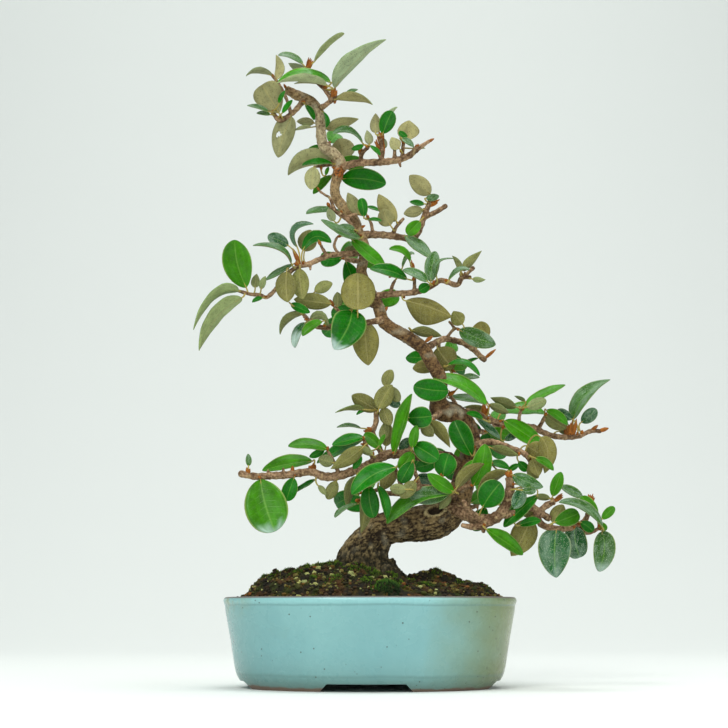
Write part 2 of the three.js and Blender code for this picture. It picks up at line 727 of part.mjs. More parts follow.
// A leaf's blade from its base and tip places and the face it shows, as a record for bladeAt.
function bladeFor(kind, shown, base, middle, tip, random) {
  const way = unit(minus(tip, base));
  const length = span(minus(tip, base));
  const width = Math.max(shown, LEAST_WIDTH_SHARE * length);
  const sight = unit(minus(EYE, base));
  const toEye = unit(minus(sight, times(way, dot(sight, way))));
  const sideways = cross(way, toEye);
  const roll = Math.acos(Math.min(shown / width, 1));
  const face = "UY".includes(kind) ? -1 : 1;
  const lean = Math.abs(sideways[2]) > 0.25 ? Math.sign(sideways[2]) : random() < 0.5 ? -1 : 1;
  const upright = plus(times(toEye, face * Math.cos(roll)), times(sideways, lean * Math.sin(roll)));
  const halfway = times(plus(base, tip), 0.5);
  const slack = times(sideways, (random() - 0.5) * 0.12 * length);
  const through = middle || plus(halfway, slack);
  return {
    kind,
    base,
    tip,
    bend: minus(times(through, 2), halfway),
    way,
    up: upright,
    length,
    width,
    arch: (0.03 + 0.07 * random()) * (middle ? 0.3 : 1),
    fold: 0.1 + 0.22 * random(),
    ripple: 0.05 + 0.09 * random(),
    phase: 6.28 * random(),
  };
}

function moved(leaf, by) {
  const shift = (p) => {
    const far = (p[1] + by - EYE[1]) / (p[1] - EYE[1]);
    return [EYE[0] + (p[0] - EYE[0]) * far, p[1] + by, EYE[2] + (p[2] - EYE[2]) * far];
  };
  return { ...leaf, base: shift(leaf.base), bend: shift(leaf.bend), tip: shift(leaf.tip) };
}

// What already stands in the tree: points on blades by cell, and lengths of wood.
const bladeCells = new Map();
const woodLengths = [];
const cellAt = (p) => p.map((v) => Math.floor(v / BLADE_CLEAR));

function bladeGrid(leaf) {
  const rows = Math.ceil(leaf.length / 2.2);
  const grid = [];
  for (let i = 1; i <= rows; i++) {
    const t = i / rows;
    const columns = Math.ceil((0.5 * leaf.width * outline(Math.min(t, 0.999))) / 2.2);
    for (let j = -columns; j <= columns; j++) {
      grid.push({ t, at: bladeAt(leaf, Math.min(t, 0.999), columns ? j / columns : 0).on });
    }
  }
  return grid;
}

function nearBlade(p) {
  const [i, j, k] = cellAt(p);
  for (let a = i - 1; a <= i + 1; a++) {
    for (let b = j - 1; b <= j + 1; b++) {
      for (let c = k - 1; c <= k + 1; c++) {
        const others = bladeCells.get(`${a},${b},${c}`) || [];
        if (others.some((q) => span(minus(p, q)) < BLADE_CLEAR)) return true;
      }
    }
  }
  return false;
}

function nearWood(p, t, owner) {
  return woodLengths.some(({ from, to, radius, of }) => {
    if (of === owner && t < 0.3) return false;
    const along = minus(to, from);
    const share = Math.min(Math.max(dot(minus(p, from), along) / dot(along, along), 0), 1);
    return span(minus(p, plus(from, times(along, share)))) < radius + WOOD_CLEAR;
  });
}

const SHIFTS = [0, -3, 3, -6, 6, -9, 9, -12, 12, -15, 15, -18, 18];

// Moves a blade toward or away from the eye until it stands clear of what is there.
function cleared(leaf, owner) {
  let best = null;
  for (const by of SHIFTS) {
    const tried = moved(leaf, by);
    const grid = bladeGrid(tried);
    const crowded = grid.filter(({ t, at }) => nearBlade(at) || nearWood(at, t, owner)).length;
    if (!best || crowded < best.crowded) best = { leaf: tried, grid, crowded };
    if (!crowded) break;
  }
  for (const { at } of best.grid) {
    const key = cellAt(at).join(",");
    bladeCells.set(key, [...(bladeCells.get(key) || []), at]);
  }
  return best.leaf;
}

function addWood(stem, owner) {
  for (let i = 0; i + 1 < stem.length; i++) {
    woodLengths.push({
      from: stem[i].slice(0, 3),
      to: stem[i + 1].slice(0, 3),
      radius: Math.max(stem[i][3], stem[i + 1][3]),
      of: owner,
    });
  }
}

// Points every two millimetres or less along the stems.
function along(stems) {
  const places = [];
  for (const stem of stems) {
    for (let i = 0; i + 1 < stem.length; i++) {
      const steps = Math.ceil(span(minus(stem[i + 1], stem[i])) / 2);
      for (let k = 0; k < steps; k++) {
        const share = k / steps;
        places.push(plus(times(stem[i], 1 - share), times(stem[i + 1], share)));
      }
    }
    places.push(stem[stem.length - 1].slice(0, 3));
  }
  return places;
}

function nearest(places, distance) {
  return places.reduce((best, p) => (distance(p) < distance(best) ? p : best));
}

// The stalk runs in a curve from the wood to the foot of the blade.
function stalkRows(leaf) {
  const foot = bladeAt(leaf, 0.001, 0);
  const reach = span(minus(leaf.base, leaf.root));
  const straight = dot(minus(leaf.base, leaf.root), foot.way) > 0.25 * reach;
  const rows = [{ on: foot.on, way: foot.way, up: foot.up }];
  if (reach < 0.8) return rows;
  if (straight && reach < SHORT_STALK) rows.pop();
  const doubled = dot(minus(leaf.base, leaf.root), foot.way) < 0 ? 0.8 : 0;
  const pull = plus(times(foot.way, -0.5 * reach), times(foot.up, 0.5 * doubled * reach));
  const handle = plus(leaf.base, pull);
  if (!straight || reach > LONG_STALK) {
    const on = plus(plus(times(leaf.root, 0.25), times(handle, 0.5)), times(leaf.base, 0.25));
    const way = unit(minus(leaf.base, leaf.root));
    rows.unshift({ on, way, up: carry(foot.up, foot.way, way) });
  }
  const ahead = rows[0] || foot;
  const direct = straight && reach <= LONG_STALK;
  const way = unit(minus(direct ? leaf.base : handle, leaf.root));
  rows.unshift({ on: leaf.root, way, up: unit(carry(ahead.up, ahead.way, way)) });
  return rows;
}

// The blade and its stalk as one closed body, with the same triangles on both faces.
function leafSolid(leaf, grow = 0) {
  const upper = [];
  const lower = [];
  const rows = [];
  const put = (on, up, half) => {
    upper.push(plus(on, times(up, half)));
    lower.push(minus(on, times(up, half)));
    return upper.length - 1;
  };
  stalkRows(leaf).forEach(({ on, way, up }, i) => {
    const out = times(cross(way, up), STALK_HALF_WIDTH + grow);
    const half = STALK_HALF_THICK + grow;
    if (i === 0) rows.push([put(on, up, half)]);
    else rows.push([put(minus(on, out), up, half), put(plus(on, out), up, half)]);
  });
  const { length } = leaf;
  const stations = length < 15 ? [0.48] : leaf.width < 20 ? [0.28, 0.7] : [0.18, 0.48, 0.8];
  for (const t of stations) {
    const row = [-1, 0, 1].map((s) => {
      const { on, up, across } = bladeAt(leaf, t, s);
      return put(plus(on, times(across, s * grow)), up, BLADE_HALF_THICK + grow);
    });
    rows.push(row);
  }
  const end = bladeAt(leaf, 0.999, 0);
  rows.push([put(plus(end.on, times(end.way, grow)), end.up, BLADE_HALF_THICK + grow)]);
  const faces = [];
  for (let i = 0; i + 1 < rows.length; i++) {
    const [here, next] = [rows[i], rows[i + 1]];
    if (here.length === 1 && next.length === 2) {
      faces.push([here[0], next[1], next[0]]);
    } else if (here.length === 1) {
      faces.push([here[0], next[1], next[0]], [here[0], next[2], next[1]]);
    } else if (here.length === 2 && next.length === 2) {
      faces.push([here[0], here[1], next[1]], [here[0], next[1], next[0]]);
    } else if (here.length === 2) {
      faces.push([here[0], next[1], next[0]], [here[0], here[1], next[1]], [here[1], next[2], next[1]]);
    } else if (next.length === 3) {
      faces.push([here[0], here[1], next[1]], [here[0], next[1], next[0]]);
      faces.push([here[1], here[2], next[2]], [here[1], next[2], next[1]]);
    } else {
      faces.push([here[0], here[1], next[0]], [here[1], here[2], next[0]]);
    }
  }
  return slab(upper, lower, faces);
}

// A closed body between two faces that share their triangles.
function slab(upper, lower, faces) {
  const count = upper.length;
  const edges = new Set(faces.flatMap(([a, b, c]) => [`${a},${b}`, `${b},${c}`, `${c},${a}`]));
  const all = [...faces, ...faces.map(([a, b, c]) => [a + count, c + count, b + count])];
  for (const edge of edges) {
    const [a, b] = edge.split(",").map(Number);
    if (edges.has(`${b},${a}`)) continue;
    all.push([b, a, a + count], [b, a + count, b + count]);
  }
  return solidOf([...upper, ...lower], all);
}

function boxesMeet(a, b) {
  const [p, q] = [a.boundingBox(), b.boundingBox()];
  return [0, 1, 2].every((i) => p.min[i] < q.max[i] && q.min[i] < p.max[i]);
}

// Solids of the finished nodes, a little swollen, that later nodes are kept out of.
const keepOut = [];

function trimmed(solid) {
  let left = solid;
  for (const other of keepOut) {
    if (boxesMeet(left, other)) left = left.subtract(other);
  }
  return left;
}

function colourMesh(name, solid, colour, roughness) {
  const mesh = solid.getMesh();
  const geometry = new THREE.BufferGeometry();
  const positions = new Float32Array(mesh.numVert * 3);
  for (let i = 0; i < mesh.numVert; i++) {
    const at = i * mesh.numProp;
    positions.set(mesh.vertProperties.subarray(at, at + 3), i * 3);
  }
  geometry.setAttribute("position", new THREE.BufferAttribute(positions, 3));
  geometry.setIndex(new THREE.BufferAttribute(new Uint32Array(mesh.triVerts), 1));
  const material = new THREE.MeshStandardMaterial({ color: colour, roughness, metalness: 0 });
  const made = new THREE.Mesh(geometry, material);
  made.name = name;
  return made;
}

// Pot.
function ovalRing(halfWidth, z, segments) {
  const halfDepth = halfWidth - OVAL_LESS;
  return Array.from({ length: segments }, (_, k) => {
    const angle = (2 * Math.PI * k) / segments;
    return [halfWidth * Math.cos(angle), halfDepth * Math.sin(angle), z];
  });
}

// Rings are stacked from the underside's middle outward and round to the top's middle.
function loftOval(rings, lowZ, highZ, segments) {
  const points = [[0, 0, lowZ], ...rings.flatMap(([half, z]) => ovalRing(half, z, segments)), [0, 0, highZ]];
  const faces = [];
  const top = points.length - 1;
  const last = 1 + (rings.length - 1) * segments;
  for (let k = 0; k < segments; k++) {
    const next = (k + 1) % segments;
    faces.push([0, 1 + next, 1 + k], [top, last + k, last + next]);
    for (let i = 0; i + 1 < rings.length; i++) {
      const a = 1 + i * segments + k;
      const b = 1 + i * segments + next;
      faces.push([a, b, b + segments], [a, b + segments, a + segments]);
    }
  }
  return solidOf(points, faces);
}

function archCut({ middle, foot, head }, turned) {
  const shape = new THREE.Shape();
  shape.moveTo(middle - foot / 2 - 0.8, -1);
  shape.lineTo(middle + foot / 2 + 0.8, -1);
  shape.lineTo(middle + head / 2, ARCH_HEIGHT);
  shape.lineTo(middle - head / 2, ARCH_HEIGHT);
  const bar = new THREE.ExtrudeGeometry(shape, { depth: 260, bevelEnabled: false });
  bar.translate(0, 0, -130);
  bar.rotateX(Math.PI / 2);
  if (turned) bar.rotateZ(Math.PI / 2);
  return solidFrom(bar);
}

function makePot() {
  const half = POT_WIDTH / 2;
  const rings = [
    [half - 28, POT_UNDERSIDE],
    [half - 26, 0],
    [half - 17.5, 0],
    [half - 13, 5],
    [half - 8.8, 10.2],
    [half - 4.4, 30],
    [half - 1.1, 51.8],
    [half, 53.2],
    [half, 56.3],
    [half - 0.9, POT_HEIGHT],
    [half - 5.2, POT_HEIGHT],
    [half - 7.4, 50],
    [half - 13.5, 17],
    [half - 18, POT_FLOOR_TOP],
  ];
  let pot = loftOval(rings, POT_UNDERSIDE, POT_FLOOR_TOP, POT_SEGMENTS);
  pot = pot.subtract(archCut(FRONT_ARCH, false)).subtract(archCut(SIDE_ARCH, true));
  for (const x of [-DRAIN_X, DRAIN_X]) {
    const drill = new THREE.CylinderGeometry(DRAIN_RADIUS, DRAIN_RADIUS, 30, 14);
    drill.rotateX(Math.PI / 2);
    drill.translate(x, 0, 8);
    pot = pot.subtract(solidFrom(drill));
  }
  return pot;
}

function boxSolid(size, at) {
  const box = new THREE.BoxGeometry(...size);
  box.translate(...at);
  return solidFrom(box);
}

function makeDrainMesh(x) {
  const z = POT_FLOOR_TOP + GAP + MESH_THICK / 2;
  const pitch = MESH_SIDE / MESH_HOLES;
  let plate = boxSolid([MESH_SIDE, MESH_SIDE, MESH_THICK], [x, 0, z]);
  for (let i = 0; i < MESH_HOLES; i++) {
    for (let j = 0; j < MESH_HOLES; j++) {
      const [u, v] = [i, j].map((n) => (n + 0.5) * pitch - MESH_SIDE / 2);
      plate = plate.subtract(boxSolid([MESH_HOLE_SIDE, MESH_HOLE_SIDE, 4], [x + u, v, z]));
    }
  }
  return plate;
}

// Height of the mound along its ridge, by x.
const RIDGE = [
  [-92, 55.5],
  [-88, 55.8],
  [-84, 57.5],
  [-80, 59.5],
  [-76, 63.5],
  [-72, 67.5],
  [-66, 70],
  [-58, 72],
  [-50, 73.5],
  [-40, 75],
  [-28, 77],
  [-20, 77],
  [-5, 76],
  [12, 72],
  [25, 67],
  [45, 66.5],
  [60, 66],
  [70, 64.5],
  [78, 62],
  [85, 59],
  [90, 55.8],
  [92, 55.5],
];

// The moss cushion in front and the crusted hump to the right of the trunk.
const DOMES = [
  { x: 11, y: -58, radius: 8.5, height: 4.5 },
  { x: 42, y: 3, radius: 17.5, height: 6.8 },
];

function ridgeAt(x) {
  const i = Math.max(1, RIDGE.findIndex(([at]) => at > x));
  const [[x0, z0], [x1, z1]] = [RIDGE[i - 1], RIDGE[i]];
  return z0 + ((z1 - z0) * (x - x0)) / (x1 - x0);
}

function lumps(x, y) {
  return 0.9 * Math.sin(x * 0.31 + 1.3) * Math.cos(y * 0.37) + 0.6 * Math.sin(x * 0.83 + y * 0.71);
}

// The mound falls to the front and back from its ridge: out is 0 in the middle and 1 at the wall.
function moundAt(x, y, out) {
  const half = SOIL_TOP_HALF;
  const deep = (half - OVAL_LESS) * Math.sqrt(Math.max(1 - (x / half) ** 2, 0.0001));
  const across = Math.min(Math.abs(y) / deep, 1);
  const fall = Math.pow(1 - Math.pow(across, 2.4), 0.9) * Math.min(1, 9 * (1 - out));
  let height = SOIL_EDGE_Z + (ridgeAt(x) - SOIL_EDGE_Z + lumps(x, y)) * fall;
  for (const dome of DOMES) {
    const away = Math.hypot(x - dome.x, y - dome.y) / dome.radius;
    if (away < 1) height += dome.height * Math.sqrt(1 - away * away);
  }
  return height;
}

function makeSoil(tree, meshes) {
  const wall = POT_WIDTH / 2 - GAP;
  const points = [];
  const faces = [];
  const ring = (half, z) => points.push(...ovalRing(half, z, SOIL_AROUND));
  points.push([0, 0, POT_FLOOR_TOP + GAP]);
  ring(wall - 18.6, POT_FLOOR_TOP + GAP);
  ring(wall - 13.9, 17.4);
  ring(wall - 8.2, 48);
  for (let i = 0; i < SOIL_RINGS; i++) {
    const share = 1 - i / SOIL_RINGS;
    for (const [x, y] of ovalRing(SOIL_TOP_HALF, 0, SOIL_AROUND)) {
      const at = [x * share, y * share];
      points.push([...at, moundAt(...at, share)]);
    }
  }
  points.push([0, 0, moundAt(0, 0, 0)]);
  const rings = 3 + SOIL_RINGS;
  const top = points.length - 1;
  for (let k = 0; k < SOIL_AROUND; k++) {
    const next = (k + 1) % SOIL_AROUND;
    const last = 1 + (rings - 1) * SOIL_AROUND;
    faces.push([0, 1 + next, 1 + k], [top, last + k, last + next]);
    for (let i = 0; i + 1 < rings; i++) {
      const a = 1 + i * SOIL_AROUND + k;
      const b = 1 + i * SOIL_AROUND + next;
      faces.push([a, b, b + SOIL_AROUND], [a, b + SOIL_AROUND, a + SOIL_AROUND]);
    }
  }
  let soil = solidOf(points, faces).subtract(tree);
  for (const x of meshes) {
    const size = [MESH_SIDE + 2 * GAP, MESH_SIDE + 2 * GAP, MESH_THICK + 3 * GAP];
    const room = boxSolid(size, [x, 0, POT_FLOOR_TOP + GAP + MESH_THICK / 2]);
    soil = soil.subtract(room);
  }
  return mainBody(soil);
}

// Tree.
const stemOf = (rows) => rows.map(([x, z, y, radius]) => [...seen(x, z, y), radius]);
const spreadOut = (rows) => rows.map(([x, z, y, radius]) => [x, z, y * DEPTH_SPREAD, radius]);

// Old bark stands in low ridges that turn about the trunk, stronger toward the foot.
function barkRidges(middle, angle) {
  const foot = Math.max(0, (110 - middle[2]) / 60);
  return 1 + (0.035 + 0.05 * foot) * Math.sin(4 * angle + middle[2] * 0.05 + middle[0] * 0.07);
}

function makeTrunk(grow) {
  const parts = [limb(stemOf(TRUNK), TRUNK_SIDES, grow, barkRidges)];
  for (const root of ROOTS) parts.push(limb(stemOf(root), ROOT_SIDES, grow));
  const scar = new THREE.TorusGeometry(1, SCAR.wire, 4, 12);
  scar.scale(SCAR.wide + grow, SCAR.tall + grow, 4 + grow);
  scar.rotateX(Math.PI / 2);
  const [x, y, z] = seen(SCAR.x, SCAR.z, SCAR.depth);
  scar.translate(x, y + 1, z);
  parts.push(solidFrom(scar));
  return mainBody(fuse(parts));
}

function makeSpray({ name, stems, buds, leaves, random }) {
  const sidesOf = (stem) => (stem[0][3] > 2.5 ? STEM_SIDES : TWIG_SIDES);
  const woods = stems.map((stem) => limb(stem, sidesOf(stem)));
  const swollen = stems.map((stem) => limb(stem, sidesOf(stem), GAP + 0.05));
  const places = along(stems);
  for (const [x0, z0, x1, z1, radius] of buds) {
    const foot = nearest(places, (p) => span(minus(seen(x0, z0, p[1]), p)));
    const tip = seen(x1, z1, foot[1] - 1);
    const waist = plus(times(foot, 0.5), times(tip, 0.5));
    const bud = [
      [...foot, 0.55 * radius],
      [...waist, radius],
      [...tip, 0.3 * radius],
    ];
    woods.push(limb(bud, TWIG_SIDES));
    swollen.push(limb(bud, TWIG_SIDES, GAP + 0.05));
  }
  stems.forEach((stem) => addWood(stem, name));
  for (const row of leaves) {
    const leaf = cleared(growLeaf(row, places, random), name);
    woods.push(leafSolid(leaf));
    swollen.push(leafSolid(leaf, GAP + 0.05));
  }
  const whole = mainBody(fuse(woods.map(trimmed)).simplify(SLIVER));
  keepOut.push(...swollen);
  return whole;
}

// A row of the lists above, or of a back shoot's rule, as a leaf in the tree.
function growLeaf(row, places, random) {
  const [kind, shown, x0, z0, ...rest] = row;
  const [x1, z1] = rest.slice(-2);
  const near = nearest(places, (p) => span(minus(seen(x0, z0, p[1]), p)));
  const flat = Math.hypot(x1 - x0, z1 - z0);
  const lean = (random() - 0.6) * 0.5 * flat;
  const base = seen(x0, z0, near[1] - 1.5);
  const tip = seen(x1, z1, near[1] - 1.5 + lean);
  const middle = rest.length === 4 ? seen(rest[0], rest[1], near[1] - 1.5 + lean / 2) : null;
  return withRoot(bladeFor(kind, shown, base, middle, tip, random), places);
}

function withRoot(leaf, places) {
  const behind = minus(leaf.base, times(leaf.way, 3));
  return { ...leaf, root: nearest(places, (p) => span(minus(p, behind))) };
}

function makeBackShoot({ name, start, end, count, seed }) {
  const random = randomFrom(seed);
  const [from, to] = [seen(start[0], start[1], start[2]), seen(end[0], end[1], end[2])];
  const stem = [0, 0.25, 0.5, 0.75, 1].map((t) => {
    const straggle = t > 0 && t < 1 ? 5 : 0;
    const on = plus(times(from, 1 - t), times(to, t));
    const off = [(random() - 0.5) * straggle, 0, (random() - 0.2) * straggle];
    return [...plus(on, off), 2.3 - 1.3 * t];
  });
  const places = along([stem]);
  const woods = [limb(stem, STEM_SIDES)];
  const swollen = [limb(stem, STEM_SIDES, GAP + 0.05)];
  addWood(stem, name);
  for (let k = 0; k < count; k++) {
    const share = 0.35 + (0.65 * k) / (count - 1);
    const root = places[Math.min(Math.floor(share * places.length), places.length - 1)];
    const turn = 2.4 * k + random();
    const length = BACK_LEAF.shortest + (BACK_LEAF.longest - BACK_LEAF.shortest) * random();
    const away = unit([Math.cos(turn), 0.55 + 0.6 * share, 0.75 * Math.sin(turn) - 0.1]);
    const base = plus(root, times(away, 5));
    const tip = plus(base, times(away, length));
    const kind = k % 3 ? "D" : "B";
    const shown = BACK_LEAF.width * length * (0.75 + 0.25 * random());
    const leaf = cleared({ ...bladeFor(kind, shown, base, null, tip, random), root }, name);
    woods.push(leafSolid(leaf));
    swollen.push(leafSolid(leaf, GAP + 0.05));
  }
  const whole = mainBody(fuse(woods.map(trimmed)).simplify(SLIVER));
  keepOut.push(...swollen);
  return whole;
}

const tree = new THREE.Group();
tree.name = "silverberry_bonsai";

const fatTrunk = makeTrunk(GAP);
keepOut.push(fatTrunk);
addWood(stemOf(TRUNK), "trunk");
const meshPlaces = [-DRAIN_X, DRAIN_X];

tree.add(colourMesh("pot", makePot(), COLOURS.glaze, 0.3));
tree.add(colourMesh("soil", makeSoil(fatTrunk, meshPlaces), COLOURS.soil, 0.95));
tree.add(colourMesh("drain_mesh_left", makeDrainMesh(meshPlaces[0]), COLOURS.mesh, 0.6));
tree.add(colourMesh("drain_mesh_right", makeDrainMesh(meshPlaces[1]), COLOURS.mesh, 0.6));
tree.add(colourMesh("trunk", makeTrunk(0), COLOURS.bark, 0.9));

SPRAYS.forEach(({ name, wood, buds, leaves }, i) => {
  const stems = wood.map((rows) => stemOf(spreadOut(rows)));
  const spray = { name, stems, buds, leaves, random: randomFrom(101 + 17 * i) };
  tree.add(colourMesh(name, makeSpray(spray), COLOURS.leaf, 0.55));
});
for (const shoot of BACK_SHOOTS) {
  tree.add(colourMesh(shoot.name, makeBackShoot(shoot), COLOURS.leaf, 0.55));
}

// The middle of the whole object's box is brought over the origin.
const box = new THREE.Box3().setFromObject(tree, true);
const middle = box.getCenter(new THREE.Vector3());
tree.position.set(-middle.x, -middle.y, 0);

export default tree;
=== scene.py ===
"""A silverberry bonsai in its oval glazed pot, as finer pieces over its plain solids.

Lengths are in millimetres while the tree is grown, and in metres in the finished meshes.
"""
import math

import bmesh
import bpy
import numpy as np
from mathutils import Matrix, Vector, noise


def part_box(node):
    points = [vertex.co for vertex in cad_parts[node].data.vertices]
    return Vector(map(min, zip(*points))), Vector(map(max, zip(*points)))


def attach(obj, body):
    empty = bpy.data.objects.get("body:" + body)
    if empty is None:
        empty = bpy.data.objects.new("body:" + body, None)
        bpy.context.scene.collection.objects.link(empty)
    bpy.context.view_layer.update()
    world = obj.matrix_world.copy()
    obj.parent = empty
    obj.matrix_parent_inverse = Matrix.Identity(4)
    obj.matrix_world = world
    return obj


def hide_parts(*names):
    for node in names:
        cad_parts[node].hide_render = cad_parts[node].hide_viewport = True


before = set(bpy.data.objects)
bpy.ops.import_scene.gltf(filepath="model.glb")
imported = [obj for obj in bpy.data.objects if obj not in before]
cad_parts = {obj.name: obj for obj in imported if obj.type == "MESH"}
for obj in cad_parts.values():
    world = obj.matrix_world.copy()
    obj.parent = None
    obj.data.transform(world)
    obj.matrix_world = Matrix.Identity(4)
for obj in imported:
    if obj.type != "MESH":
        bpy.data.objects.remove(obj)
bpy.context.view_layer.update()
POT_LOW, POT_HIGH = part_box("pot")
# The tree is grown about the middle of the pot's foot.
POT_X = (POT_LOW[0] + POT_HIGH[0]) / 2
POT_Y = (POT_LOW[1] + POT_HIGH[1]) / 2

# The tree's places in millimetres, the same as those that the solids are built from.
# EYE is where the camera stands.
EYE = (-3.9, -1000, 48)
# How much further the branches reach in depth than their rows say.
DEPTH_SPREAD = 1.5
# A blade seen narrower than this share of its length is turned, not narrow.
LEAST_WIDTH_SHARE = 0.44
# How far a blade keeps from other blades and from wood.
BLADE_CLEAR = 2.5
WOOD_CLEAR = 1.1

# Wood is (x, z, depth, radius) as it looks from the front, on the plane of the pot's middle.
TRUNK = [
    (-4, 30, 0, 15), (-4, 58, 0, 19), (-3, 70, 0, 24), (-3, 76, 0, 20), (-3.6, 82, 0, 18),
    (0.4, 92, -1, 13.8), (8, 101, -2, 11), (20, 103.5, -4, 10.3), (32, 105, -6, 11.2),
    (44, 107.5, -6, 11.3), (52, 112.5, -4, 9.8), (58, 122, 0, 8.2), (62, 135, 5, 7.4),
    (66, 150, 8, 7), (67, 160, 8, 6.6), (63.5, 171, 6, 6.4), (56, 178, 3, 6.8),
    (47, 180.5, 0, 7.4), (45.5, 188, -1, 5.6), (47, 200, -2, 4.8), (44, 207, -2, 4.7),
    (40, 214, -3, 4.7), (36, 221, -3, 4.5), (30, 226, -4, 4.5), (22, 231, -5, 4.5),
    (15, 235, -6, 4.3), (9, 240, -6, 4.3), (7, 246, -6, 4.1), (5, 252, -6, 4), (1, 258, -5, 4.1),
    (-3, 266, -4, 3.7), (-5.5, 274, -3, 3.6), (-4.5, 281, -3, 3.5), (-3, 288, -3, 3.5),
    (-5, 295, -2, 3.8), (-8.5, 302, -1, 4.1), (-10.5, 309, 0, 3.9), (-15.5, 316, 1, 3.7),
    (-20.5, 322, 2, 3.5), (-23.5, 328, 2, 3.3), (-23.5, 334, 2, 3.3), (-21.5, 342, 2, 3.7),
    (-20, 350, 2, 3.8), (-25, 356.5, 1, 3.6), (-31, 361, 1, 3.6), (-33, 367, 0, 3.5),
    (-33.5, 375, 0, 3.4), (-34.5, 384, 0, 3.6), (-38, 391, 0, 3.5), (-43, 395, 1, 3.5),
    (-50, 398, 1, 3.4), (-57, 402, 2, 2.9),
]

ROOTS = [
    [(-8, 77, -6, 9), (-17, 74, -13, 6.5), (-25, 70, -20, 4.5), (-32, 65, -26, 2.6)],
    [(5, 77, -6, 9), (11, 72.5, -15, 6.5), (17, 68, -24, 4.2), (22, 62, -32, 2.4)],
    [(3, 77, 8, 9), (8, 73, 20, 6.5), (13, 68, 32, 4.2), (17, 62, 41, 2.4)],
    [(-8, 77, 8, 8), (-17, 73, 17, 5.5), (-25, 69.5, 26, 3.6), (-32, 65, 32, 2.2)],
    [(6, 76, 2, 8), (14, 72, 5, 6.2), (22, 67, 8, 4.6), (30, 61, 11, 2.6)],
]

